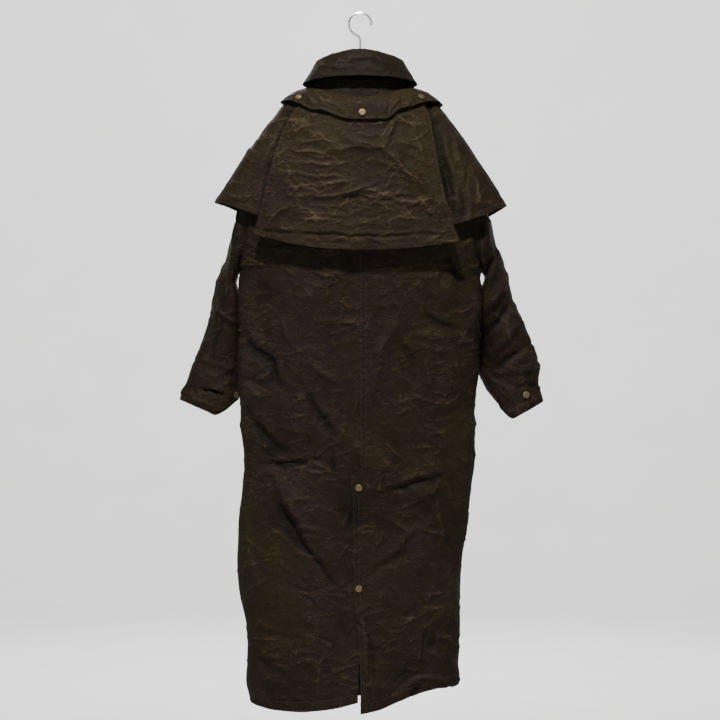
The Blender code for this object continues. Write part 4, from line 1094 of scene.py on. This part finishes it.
def cloth_object(name, grid, normals, wall, marks, around=False):
    """Closed thin shell over a grid of outer points; marks are its values for the material."""
    inner = grid - normals * wall[..., None]
    verts = np.concatenate([grid.reshape(-1, 3), inner.reshape(-1, 3)]).astype(np.float32)
    faces = shell_faces(*grid.shape[:2], around)
    row, column_index = grid.shape[0] // 2, grid.shape[1] // 2
    middle = grid[row, column_index]
    turned = np.cross(grid[row, column_index + 1] - middle, grid[row + 1, column_index] - middle)
    if turned.dot(normals[row, column_index]) < 0:
        faces = faces[:, ::-1]
    mesh = bpy.data.meshes.new(name)
    mesh.vertices.add(len(verts))
    mesh.vertices.foreach_set("co", verts.ravel())
    mesh.loops.add(faces.size)
    mesh.loops.foreach_set("vertex_index", faces.ravel().astype(np.int32))
    mesh.polygons.add(len(faces))
    mesh.polygons.foreach_set("loop_start", np.arange(0, faces.size, 4, dtype=np.int32))
    mesh.update(calc_edges=True)
    mesh.validate()
    add_cut(mesh, grid)
    for mark, values in marks.items():
        held = mesh.attributes.new(mark, "FLOAT", "POINT")
        held.data.foreach_set("value", np.tile(values.ravel(), 2).astype(np.float32))
    made = add_object(name, mesh)
    mesh.set_sharp_from_angle(angle=math.radians(SHARP_ANGLE))
    return made


# Thread: sizes in metres; each stitch is three rings of corners, narrow and sunk at its ends
STITCH_PITCH = 0.0036
STITCH_LENGTH = 0.0026
STITCH_RADIUS = 0.00042
STITCH_CORNERS = 4
STITCH_COLUMNS = ("travel", "scale", "lift")
STITCH_RINGS = ((0.0, 0.55, -0.0001), (0.5, 1.0, 0.00025), (1.0, 0.55, -0.0001))


def sampled(values, spots, where):
    """Value of a row of vectors at a distance along it."""
    return np.array([np.interp(where, spots, values[:, axis]) for axis in range(3)])


def unit(vector):
    """Vector of length one."""
    return vector / (np.linalg.norm(vector) + 1e-9)


def stitches(name, lines):
    """One mesh of separate thread stitches along lines of points and normals."""
    turns = np.arange(STITCH_CORNERS) * 2 * math.pi / STITCH_CORNERS
    verts, faces = [], []
    for points, normals in lines:
        spans = np.linalg.norm(np.diff(points, axis=0), axis=1)
        spots = np.concatenate([[0.0], np.cumsum(spans)])
        for start in np.arange(STITCH_PITCH, spots[-1] - STITCH_PITCH, STITCH_PITCH):
            base = len(verts)
            normal = unit(sampled(normals, spots, start))
            along = sampled(points, spots, start + STITCH_LENGTH) - sampled(points, spots, start)
            beside = unit(np.cross(along, normal))
            for row in STITCH_RINGS:
                ring = dict(zip(STITCH_COLUMNS, row))
                spot = sampled(points, spots, start + ring["travel"] * STITCH_LENGTH) + normal * ring["lift"]
                radius = STITCH_RADIUS * ring["scale"]
                verts += [spot + radius * (normal * math.sin(turn) + beside * math.cos(turn))
                          for turn in turns]
            faces += ring_faces(base, len(STITCH_RINGS), STITCH_CORNERS)
            faces.append(tuple(range(base + STITCH_CORNERS - 1, base - 1, -1)))
            faces.append(tuple(range(len(verts) - STITCH_CORNERS, len(verts))))
    return add_mesh(name, verts, faces)


# Materials
# The cape's base is lighter and the body's darker: partly the cloth's own tone, partly painted light on the
# higher cape and painted shade on the lower body
WAXED = {
    "waxed_cotton_body": {"base": (0.0076, 0.0046, 0.0024), "olive": (0.0100, 0.0072, 0.0024),
                          "plum": (0.0100, 0.0054, 0.0046), "ridge": (0.034, 0.0235, 0.0125), "rough": 0.60},
    "waxed_cotton_cape": {"base": (0.0108, 0.0068, 0.0035), "olive": (0.0132, 0.0094, 0.0036),
                          "plum": (0.0088, 0.0047, 0.0034), "ridge": (0.044, 0.031, 0.0170), "rough": 0.62},
    "waxed_cotton_collar": {"base": (0.0072, 0.0052, 0.0029), "olive": (0.0084, 0.0066, 0.0030),
                            "plum": (0.0064, 0.0039, 0.0030), "ridge": (0.026, 0.019, 0.0115), "rough": 0.66},
}
METALS = {
    "brass_stud": {"base": (0.115, 0.088, 0.050), "worn": (0.23, 0.185, 0.115), "dark": (0.03, 0.024, 0.015),
                   "rough": 0.50},
    "hook_chrome": {"base": (0.62, 0.63, 0.64), "worn": (0.80, 0.80, 0.80), "dark": (0.20, 0.20, 0.20),
                    "rough": 0.16},
}
PLASTIC = {"base": (0.016, 0.016, 0.017), "rough": 0.42}
THREAD = {"thread_body": (0.011, 0.0074, 0.0046), "thread_cape": (0.013, 0.0090, 0.0052)}
THREAD_ROUGH = 0.7
WEAVE_SCALE = 349.0
WAX_SPECULAR = 0.07
WARP_NOISE = 22.0
WARP_REACH = 0.012
# Thin worn lines: the noise that draws them and their width in its values
LINE_COLUMNS = ("stretch", "offset", "scale", "detail", "width")
WORN_LINES = {"long": ((1.0, 1.0, 2.4), (0, 0, 0), 26.0, 2.5, 0.035),
              "short": ((1.3, 1.0, 1.6), (5, 2, 1), 58.0, 2.0, 0.05)}
LINE_ROUGHNESS = 0.5
# Patches: the noise's scale, detail and roughness, and the values between which it changes
PATCH_COLUMNS = ("scale", "detail", "roughness", "low", "high")
PATCHES = {
    "olive": (9.0, 4.0, 0.6, 0.42, 0.62),
    "plum": (7.0, 4.0, 0.6, 0.46, 0.66),
    "long": (14.0, 2.0, 0.55, 0.44, 0.62),
    "short": (31.0, 2.0, 0.55, 0.46, 0.64),
    "wear": (45.0, 3.0, 0.55, 0.30, 0.62),
    "sheen": (17.0, 3.0, 0.55, 0.3, 0.7),
    "stains": (420.0, 4.0, 0.65, 0.48, 0.72),
    "polish": (240.0, 3.0, 0.55, 0.45, 0.65),
}
PLUM_STRETCH = ((1, 1, 0.7), (3, 1, 2))
POLISH_STRETCH = ((1, 1, 1), (2, 5, 1))
CRACK_SCALE = 150.0
CRACK_WIDTH = 0.10
SPECKLE = (260.0, 3.0, 0.7)
SPECKLE_SHADE = (0.25, 0.75, 0.72, 1.28)
DENTS = (70.0, 4.0, 0.6)
CREST_RANGE = (0.2, 2.0)
# Painted shade in sunk folds: full at the first fold height in millimetres and below it, none from the second
# up
PAINTED_SHADE_RANGE = (-4.5, -0.8)
WEAR_RANGE = (0.35, 1.0)
SHEEN_RANGE = (-0.07, 0.08)
WEAR_GLOSS = 0.06
WAX_BUMP = (1.0, 0.0020)
METAL_BUMP = (0.15, 0.0002)
PLAIN_BUMP = (0.2, 0.0002)
WEAR_SHARES = {"ridge": 0.75, "long": 0.38, "short": 0.30}
CRACK_WEAR = 0.05
HEIGHT_SHARES = {"weave": 0.05, "long": 0.55, "short": 0.35, "cracks": 0.06, "dents": 1.1, "speckle": 0.06}
# Painted shade: its greatest share, and the share of the base colour that the folds are darkened towards
PAINTED_SHADE_SHARE = 0.75
PAINTED_SHADE_DARKNESS = 0.30


class Look:
    """A material in the making; its methods add nodes and give their outputs."""

    def __init__(self, name):
        self.material = bpy.data.materials.new("look_" + name)
        self.material.use_nodes = True
        self.tree = self.material.node_tree
        self.shader = self.tree.nodes["Principled BSDF"]
        self.place = self.node("ShaderNodeTexCoord").outputs["Object"]

    def node(self, kind, inputs=None, **settings):
        """New node with its settings and inputs; an input is a value or another node's output."""
        node = self.tree.nodes.new(kind)
        for name, value in settings.items():
            setattr(node, name, value)
        for name, value in (inputs or {}).items():
            if isinstance(value, bpy.types.NodeSocket):
                self.tree.links.new(value, node.inputs[name])
            else:
                node.inputs[name].default_value = value
        return node

    def maths(self, operation, *values):
        """Result of one operation on values."""
        return self.node("ShaderNodeMath", dict(enumerate(values)), operation=operation).outputs[0]

    def joined(self, operation, parts, shares):
        """Named parts, each times its share, joined one after another by an operation."""
        scaled = [self.maths("MULTIPLY", parts[name], share) for name, share in shares.items()]
        total = scaled[0]
        for part in scaled[1:]:
            total = self.maths(operation, total, part)
        return total

    def ranged(self, value, low, high, new_low=0.0, new_high=1.0):
        """Smooth map from one range to another."""
        limits = {"Value": value, "From Min": low, "From Max": high, "To Min": new_low, "To Max": new_high}
        return self.node("ShaderNodeMapRange", limits, interpolation_type="SMOOTHSTEP").outputs["Result"]

    def mixed(self, share, first, second, mode="MIX"):
        """Mix of two colours."""
        first, second = (value if isinstance(value, bpy.types.NodeSocket) else (*value, 1)
                         for value in (first, second))
        return self.node("ShaderNodeMix", {0: share, 6: first, 7: second}, data_type="RGBA",
                         blend_type=mode).outputs[2]

    def noise(self, where, scale, detail=3.0, roughness=0.55, output="Fac"):
        """Noise texture."""
        inputs = {"Vector": where, "Scale": scale, "Detail": detail, "Roughness": roughness}
        return self.node("ShaderNodeTexNoise", inputs).outputs[output]

    def stretched(self, where, scale, offset=(0, 0, 0)):
        """Vector scaled and moved."""
        inputs = {"Vector": where, "Scale": scale, "Location": offset}
        return self.node("ShaderNodeMapping", inputs).outputs["Vector"]

    def patches(self, name, where=None, *ends):
        """Patches of a named noise; ends are the results outside and inside them."""
        patch = dict(zip(PATCH_COLUMNS, PATCHES[name]))
        where = self.place if where is None else where
        value = self.noise(where, patch["scale"], patch["detail"], patch["roughness"])
        return self.ranged(value, patch["low"], patch["high"], *ends)

    def finish(self, colour, rough, height, strength, distance):
        """Material with its colour, roughness and bump joined up."""
        bump = self.node("ShaderNodeBump", {"Height": height, "Strength": strength, "Distance": distance})
        for name, value in (("Base Color", colour), ("Roughness", rough), ("Normal", bump.outputs["Normal"])):
            self.tree.links.new(value, self.shader.inputs[name])
        return self.material


def warped_place(look):
    """Object coordinates moved about by a coarse noise."""
    drift = look.noise(look.place, WARP_NOISE, 2.0, 0.5, output="Color")
    drift = look.node("ShaderNodeVectorMath", {0: drift, 1: (WARP_REACH,) * 3}, operation="MULTIPLY")
    inputs = {0: look.place, 1: drift.outputs[0]}
    return look.node("ShaderNodeVectorMath", inputs, operation="ADD").outputs[0]


def worn_lines(look, warped, name):
    """Thin lines where a stretched noise passes its middle value, kept to patches."""
    spec = dict(zip(LINE_COLUMNS, WORN_LINES[name]))
    where = look.stretched(warped, spec["stretch"], spec["offset"])
    waves = look.noise(where, spec["scale"], spec["detail"], LINE_ROUGHNESS)
    lines = look.maths("ABSOLUTE", look.maths("SUBTRACT", waves, 0.5))
    lines = look.ranged(lines, 0.0, spec["width"], 1.0, 0.0)
    return look.maths("MULTIPLY", lines, look.patches(name))


def woven(look):
    """Height of the weave: warp and weft threads over the flat cut."""
    flat = look.node("ShaderNodeUVMap", uv_map="cut").outputs["UV"]
    warp, weft = (look.node("ShaderNodeTexWave", {"Vector": flat, "Scale": WEAVE_SCALE},
                            bands_direction=direction).outputs["Fac"] for direction in ("X", "Y"))
    return look.maths("MAXIMUM", warp, weft)


def waxed_cotton(name):
    """Waxed cotton: mottled dye, wax worn off the ridges, painted shade in the sunk folds, a fine crackle and
    the weave.
    """
    paint = WAXED[name]
    look = Look(name)
    place, warped = look.place, warped_place(look)
    parts = {line: worn_lines(look, warped, line) for line in WORN_LINES}
    cracks = look.node("ShaderNodeTexVoronoi", {"Vector": warped, "Scale": CRACK_SCALE},
                       feature="DISTANCE_TO_EDGE")
    crest, fold = (look.node("ShaderNodeAttribute", attribute_name=mark).outputs["Fac"]
                   for mark in ("crest", "fold"))
    parts["cracks"] = look.ranged(cracks.outputs["Distance"], 0.0, CRACK_WIDTH, 1.0, 0.0)
    parts["speckle"] = look.noise(place, *SPECKLE)
    parts["ridge"] = look.ranged(crest, *CREST_RANGE)
    parts["weave"] = woven(look)
    parts["dents"] = look.noise(warped, *DENTS)

    worn = look.maths("ADD", look.joined("MAXIMUM", parts, WEAR_SHARES),
                      look.maths("MULTIPLY", parts["cracks"], CRACK_WEAR))
    worn = look.maths("MULTIPLY", worn, look.patches("wear", place, *WEAR_RANGE))
    colour = look.mixed(look.patches("olive"), paint["base"], paint["olive"])
    colour = look.mixed(look.patches("plum", look.stretched(place, *PLUM_STRETCH)), colour, paint["plum"])
    colour = look.mixed(worn, colour, paint["ridge"])
    # Painted shade: sunk folds, read from the fold height, are darkened towards a dark copy of the base colour
    painted_shade = look.maths("MULTIPLY", look.ranged(fold, *PAINTED_SHADE_RANGE, 1.0, 0.0), PAINTED_SHADE_SHARE)
    colour = look.mixed(painted_shade, colour, tuple(PAINTED_SHADE_DARKNESS * part for part in paint["base"]))
    shade = look.ranged(parts["speckle"], *SPECKLE_SHADE)
    grey = look.node("ShaderNodeCombineColor", dict.fromkeys(("Red", "Green", "Blue"), shade)).outputs[0]
    colour = look.mixed(1.0, colour, grey, mode="MULTIPLY")

    rough = look.patches("sheen", place, *(paint["rough"] + change for change in SHEEN_RANGE))
    rough = look.maths("SUBTRACT", rough, look.maths("MULTIPLY", worn, WEAR_GLOSS))
    look.shader.inputs["Specular IOR Level"].default_value = WAX_SPECULAR
    return look.finish(colour, rough, look.joined("ADD", parts, HEIGHT_SHARES), *WAX_BUMP)


def metal(name):
    """Aged metal: worn high spots, dull patches and fine scratches."""
    paint = METALS[name]
    look = Look(name)
    stains = look.patches("stains")
    worn = look.patches("polish", look.stretched(look.place, *POLISH_STRETCH))
    scratches = look.noise(look.stretched(look.place, (1, 1, 9)), 900.0, 2.0)
    colour = look.mixed(look.maths("MULTIPLY", worn, 0.6), paint["base"], paint["worn"])
    colour = look.mixed(look.maths("MULTIPLY", stains, 0.5), colour, paint["dark"])
    rough = look.maths("ADD", look.maths("MULTIPLY", stains, 0.18), look.maths("MULTIPLY", scratches, 0.12))
    look.shader.inputs["Metallic"].default_value = 1.0
    return look.finish(colour, look.maths("ADD", rough, paint["rough"]), scratches, *METAL_BUMP)


def plain_look(name, base, rough, scale=300.0, vary=0.2):
    """Plastic, thread or floor: a nearly even colour with fine variation."""
    look = Look(name)
    grain = look.noise(look.place, scale)
    darker, lighter = (tuple(share * part for part in base) for share in (1 - vary, 1 + vary))
    colour = look.mixed(look.ranged(grain, 0.3, 0.7), darker, lighter)
    return look.finish(colour, look.ranged(grain, 0.3, 0.7, rough - 0.06, rough + 0.06), grain, *PLAIN_BUMP)


LOOKS = {name: waxed_cotton(name) for name in WAXED}
LOOKS.update({name: metal(name) for name in METALS})
LOOKS["hanger_plastic"] = plain_look("hanger_plastic", PLASTIC["base"], PLASTIC["rough"])
LOOKS.update({name: plain_look(name, colour, THREAD_ROUGH, 900.0, 0.35) for name, colour in THREAD.items()})

# How far an area's creases reach round to the front: none at the first value of a point's Y direction,
# all at the second
FACING = {"sleeve_left": (-0.60, -0.25), "sleeve_right": (-0.60, -0.25), "body": (-0.45, -0.05),
          "cape_side": (-0.20, 0.20), "other": (-0.15, 0.25)}
FRONT_FACING = (-0.25, 0.15)
STUD_CALM = (0.008, 0.0256)
SWAY = {"body": 0.0013, "sleeve_left": 0.0026, "sleeve_right": 0.0030}
SWAY_LENGTH = 0.110
SWAY_SEED = 21
GROOVE_DEPTH = 0.0006
GROOVE_WIDTH = 0.0022
PUCKER_REACH = 0.012
PUCKER_HEIGHT = 0.00055
PUCKER_LENGTH = 0.013
PUCKER_SEED = 40
RAISE_BLEND = (-0.002, 0.001)
STUD_NODES = [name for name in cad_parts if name.startswith("stud_")]
STUD_PLACES = np.array([tuple((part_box(name)[0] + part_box(name)[1]) / 2) for name in STUD_NODES])

# Stitch rows of the body panels: the edge and the distance from it
FOOT_ROW = ("foot", 0.020)
BODY_STITCHES = {
    ("back", LEFT): (FOOT_ROW,),
    ("back", RIGHT): (("start", 0.0020), ("start", 0.0130), FOOT_ROW),
    ("front", LEFT): (("start", 0.006), ("start", 0.042), FOOT_ROW),
    ("front", RIGHT): (FOOT_ROW,),
}
# Strips raised or sunk beside an edge: the edge, the reach, the least and most relief, and the amount
WELT = ("start", 0.0150, -0.0020, 0.0020, 0.0009)
LAP_UNDER = ("start", 0.0320, -0.0030, 0.0, -0.0022)
LAP_OVER = (("start", 0.0360, -0.0004, 0.0060, 0.0), ("end", 0.0360, -0.0004, 0.0060, 0.0))
# Kinds of piece whose rows are the outer face of the wall; the other rows are its inner face
OUTER_ROWS = ("sleeve", "tab", "cape_side", "flap", "band", "collar")


def sewn(grid, height, row, number):
    """Relief with the groove and the small gathers of one row of stitching."""
    edge, at = row
    distance = edge_distance(grid, edge) - at
    wave = ripple(grid[..., 0] + grid[..., 1], grid[..., 2], PUCKER_SEED + number, PUCKER_LENGTH)
    return (height - GROOVE_DEPTH * np.exp(-(distance / GROOVE_WIDTH) ** 2)
            + PUCKER_HEIGHT * wave * np.exp(-(distance / PUCKER_REACH) ** 2))


def creased(grid, normals, area, front, keep):
    """Relief of a piece's creases and sway, and their crests, still near studs and kept edges."""
    facing = smooth_step(*FACING.get(area, FACING["other"]), normals[..., 1])
    height, crest = (field * facing for field in area_relief(area, grid))
    if front:
        away = 1 - smooth_step(*FRONT_FACING, normals[..., 1])
        other, other_crest = area_relief(front, grid)
        height += other * away
        crest += other_crest * away
    height += SWAY.get(area, 0.0) * ripple(grid[..., 0], grid[..., 2], SWAY_SEED, SWAY_LENGTH)
    near_stud = np.min([np.linalg.norm(grid - place, axis=2) for place in STUD_PLACES], axis=0)
    height *= smooth_step(*STUD_CALM, near_stud)
    for edge, reach in keep:
        height *= smooth_step(0.0, reach, edge_distance(grid, edge))
    return height, crest


def dressed(name, rows, cell, flip, area, slot, around=False, hems=(), seams=(), keep=(), front=None,
            raised=(), lift=CLOTH):
    """Fine cloth piece with its creases, hems and stitch rows; returns the object and its thread lines."""
    grid = fine_grid(rows, cell, around)
    normals = grid_normals(grid, flip, around)
    grid = grid + normals * lift
    height, crest = creased(grid, normals, area, front, keep)
    # The fold height in millimetres goes to the material, which paints shade into the sunk folds
    fold = height * 1000
    for edge, reach, low, high, amount in raised:
        away = edge_distance(grid, edge)
        height = np.where(away < reach, np.clip(height, low, high), height)
        height += amount * (1 - smooth_step(reach + RAISE_BLEND[0], reach + RAISE_BLEND[1], away))
    wall = np.full(height.shape, WALL)
    for edge in hems:
        thin = smooth_step(HEM_DEPTH - HEM_BLEND, HEM_DEPTH + HEM_BLEND, edge_distance(grid, edge))
        wall = np.maximum(wall, HEM_WALL - (HEM_WALL - WALL) * thin)
    for number, row in enumerate(seams):
        height = sewn(grid, height, row, number)
    grid = grid + normals * height[..., None]
    normals = grid_normals(grid, flip, around)
    made = cloth_object(name, grid, normals, wall, {"crest": crest, "fold": fold}, around)
    made.data.materials.append(LOOKS[slot])
    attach(made, "root")
    return made, [line_along(grid, normals, edge, at) for edge, at in seams]


threads = {name: [] for name in THREAD}


def make_piece(name, rows, kind, flip, area, slot, thread, **options):
    """One dressed piece that stands for the CAD node of the same name."""
    if kind in OUTER_ROWS:
        flip, options["lift"] = not flip, 0.0
    made, lines = dressed("cloth_" + name, rows, CELL[kind], flip, area, slot, **options)
    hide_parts(name)
    threads[thread] += lines


for side, side_name in ((LEFT, "left"), (RIGHT, "right")):
    for face, face_name in ((BACK, "back"), (FRONT, "front")):
        make_piece(f"{face_name}_{side_name}", body_rows(side, face), face_name, side * face > 0, "body",
                   "waxed_cotton_body", "thread_body", front="front", hems=("foot", "start"),
                   seams=BODY_STITCHES[face_name, side], keep=(("top", 0.03),),
                   raised=(WELT,) if (face, side) == (BACK, RIGHT) else ())
    make_piece(f"sleeve_{side_name}", sleeve_rows(side), "sleeve", side > 0, f"sleeve_{side_name}",
               "waxed_cotton_body", "thread_body", around=True, hems=("foot",), keep=(("top", 0.015),),
               seams=(("top", 0.012), FOOT_ROW, ("foot", 0.082), ("foot", 0.088)))
    make_piece(f"cape_{side_name}", cape_side_rows(side), "cape_side", side < 0, "cape_side",
               "waxed_cotton_cape", "thread_cape", front="cape_side", hems=("foot", "end"),
               seams=(("foot", 0.011), ("end", 0.008)), keep=(("start", 0.02), ("top", 0.03)),
               raised=(LAP_UNDER,))
    make_piece(f"cuff_tab_{side_name}", tab_rows(side), "tab", side > 0, "tab", "waxed_cotton_body",
               "thread_body", hems=("top", "foot", "start", "end"), seams=(("top", 0.003), ("foot", 0.003)))
make_piece("cape_back", cape_back_rows(), "cape_back", False, "cape", "waxed_cotton_cape", "thread_cape",
           hems=("start", "end", "foot"), keep=(("start", 0.006), ("end", 0.006), ("top", 0.02)),
           raised=LAP_OVER, seams=(("start", 0.0045), ("end", 0.0045), ("foot", 0.011)))
make_piece("neck_flap", flap_rows(), "flap", True, "flap", "waxed_cotton_cape", "thread_cape",
           hems=("foot",), seams=(("foot", 0.0065),), keep=(("top", 0.012),))
make_piece("neck_band", band_rows(), "band", True, "band", "waxed_cotton_collar", "thread_cape",
           seams=(("foot", 0.004),))
make_piece("collar", collar_rows(), "collar", True, "collar", "waxed_cotton_collar", "thread_cape",
           hems=("foot",), seams=(("foot", 0.007),))

for name, lines in threads.items():
    made = stitches("stitching_" + name.split("_")[1], lines)
    made.data.materials.append(LOOKS[name])
    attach(made, "root")

# Studs: radius and height in millimetres along a domed cap with a rolled rim, from its top to its base
STUD_PROFILE = ((0.0, 2.75), (1.4, 2.70), (2.8, 2.50), (4.0, 2.15), (4.9, 1.75), (5.35, 1.45), (5.6, 1.35),
                (5.9, 1.45), (6.3, 1.72), (6.8, 1.70), (7.2, 1.35), (7.35, 0.85), (7.15, 0.35), (6.7, 0.05),
                (5.0, 0.0), (0.0, 0.0))
STUD_TURNS = 40
STUD_TOP_SHARE = 0.3
STUD_RIM_SHARE = 0.9
UPRIGHT = 0.9


def stud_axis(points):
    """Axis of a CAD stud towards its domed side, and the middle of its base."""
    middle = points.mean(axis=0)
    axis = np.linalg.svd(points - middle)[2][2]
    reach = (points - middle) @ axis
    radius = np.linalg.norm((points - middle) - np.outer(reach, axis), axis=1)
    top = reach[radius < STUD_TOP_SHARE * STUD_RADIUS]
    wide = reach[radius > STUD_RIM_SHARE * STUD_RADIUS].mean()
    if abs(top.max() - wide) < abs(top.min() - wide):
        axis, reach = -axis, -reach
    return axis, middle + axis * reach.min()


def stud_cap(name):
    """Domed cap where a CAD stud is."""
    axis, base = stud_axis(np.array([tuple(vertex.co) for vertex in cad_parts[name].data.vertices]))
    across = np.cross(axis, (0.0, 0.0, 1.0) if abs(axis[2]) < UPRIGHT else (1.0, 0.0, 0.0))
    across /= np.linalg.norm(across)
    beside = np.cross(axis, across)
    profile = [(radius / 1000, level / 1000) for radius, level in STUD_PROFILE]
    angles = [2 * math.pi * turn / STUD_TURNS for turn in range(STUD_TURNS)]
    verts = [base + axis * profile[0][1]]
    for radius, level in profile[1:-1]:
        verts += [base + (across * math.cos(angle) + beside * math.sin(angle)) * radius + axis * level
                  for angle in angles]
    verts.append(base)
    end = len(verts) - 1
    last = end - STUD_TURNS
    faces = [face[::-1] for face in ring_faces(1, len(profile) - 2, STUD_TURNS)]
    for turn in range(STUD_TURNS):
        after = (turn + 1) % STUD_TURNS
        faces += [(0, 1 + turn, 1 + after), (last + turn, end, last + after)]
    cap = add_mesh("cap_" + name, verts, faces)
    cap.data.materials.append(LOOKS["brass_stud"])
    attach(cap, "root")
    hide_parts(name)


for name in STUD_NODES:
    stud_cap(name)
for name, slot in (("hanger_hook", "hook_chrome"), ("hanger_bar", "hanger_plastic")):
    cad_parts[name].data.materials.clear()
    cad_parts[name].data.materials.append(LOOKS[slot])

# Stage: a pale floor that curves up all round into a wall, in metres
STAGE_LOW = -2.0
STAGE_FLAT = (0.001, 3.0, 5.0, 7.0)
STAGE_BEND = 2.0
STAGE_BEND_TURNS = np.linspace(0.1, math.pi / 2, 12)
STAGE_WALL = (4.0, 7.0)
STAGE_TURNS = 96
FLOOR_LOOK = {"base": (0.58, 0.585, 0.58), "rough": 0.8, "scale": 3.0, "vary": 0.02}
WORLD_COLOUR = (1.0, 0.99, 0.97, 1)
WORLD_STRENGTH = 0.19
LIGHT_COLUMNS = ("place", "target", "size", "watts", "colour")
LIGHTS = {
    "key": ((0.4, 3.5, 4.7), (0.0, 0.0, -0.80), 0.6, 1020.0, (1.0, 0.98, 0.95)),
    "fill": ((2.6, 2.8, -0.2), (0.0, 0.0, -0.8), 2.2, 12.0, (0.95, 0.98, 1.0)),
    "behind": ((0.6, -3.6, 1.8), (0.0, 0.0, -0.7), 2.0, 120.0, (1.0, 1.0, 1.0)),
    "wall": ((0.0, -3.5, 2.0), (0.0, -9.0, -0.5), 3.0, 620.0, (1.0, 1.0, 1.0)),
}
CAMERA_PLACE = (0.0, 5.0, -0.737)
CAMERA_TURN = (90, 0, 180)
CAMERA_FIELD = 17.45


def build_stage():
    """Floor with its curved edge and wall."""
    flat_end = STAGE_FLAT[-1]
    profile = [(radius, 0.0) for radius in STAGE_FLAT]
    profile += [(flat_end + STAGE_BEND * math.sin(turn), STAGE_BEND - STAGE_BEND * math.cos(turn))
                for turn in STAGE_BEND_TURNS]
    profile += [(flat_end + STAGE_BEND, level) for level in STAGE_WALL]
    angles = [2 * math.pi * turn / STAGE_TURNS for turn in range(STAGE_TURNS)]
    verts = [(radius * math.cos(angle), radius * math.sin(angle), STAGE_LOW + level)
             for radius, level in profile for angle in angles]
    floor = add_mesh("floor", verts, ring_faces(0, len(profile), STAGE_TURNS))
    floor.data.materials.append(plain_look("floor", **FLOOR_LOOK))


def build_world():
    """Even pale light from all sides."""
    world = bpy.data.worlds.new("studio")
    bpy.context.scene.world = world
    world.use_nodes = True
    inputs = world.node_tree.nodes["Background"].inputs
    inputs["Color"].default_value = WORLD_COLOUR
    inputs["Strength"].default_value = WORLD_STRENGTH


def add_light(name, row):
    """Round soft light that looks at its target."""
    spec = dict(zip(LIGHT_COLUMNS, row))
    data = bpy.data.lights.new(name, "AREA")
    data.shape = "DISK"
    data.size, data.energy, data.color = spec["size"], spec["watts"], spec["colour"]
    lamp = bpy.data.objects.new(name, data)
    lamp.location = spec["place"]
    lamp.rotation_euler = (Vector(spec["target"]) - Vector(spec["place"])).to_track_quat("-Z", "Y").to_euler()
    bpy.context.scene.collection.objects.link(lamp)


def add_camera():
    """Camera at the photo's angle."""
    lens = bpy.data.cameras.new("camera")
    lens.angle = math.radians(CAMERA_FIELD)
    camera = bpy.data.objects.new("camera", lens)
    camera.location = CAMERA_PLACE
    camera.rotation_euler = [math.radians(turn) for turn in CAMERA_TURN]
    bpy.context.scene.collection.objects.link(camera)
    bpy.context.scene.camera = camera


build_stage()
build_world()
for name, row in LIGHTS.items():
    add_light(name, row)
add_camera()
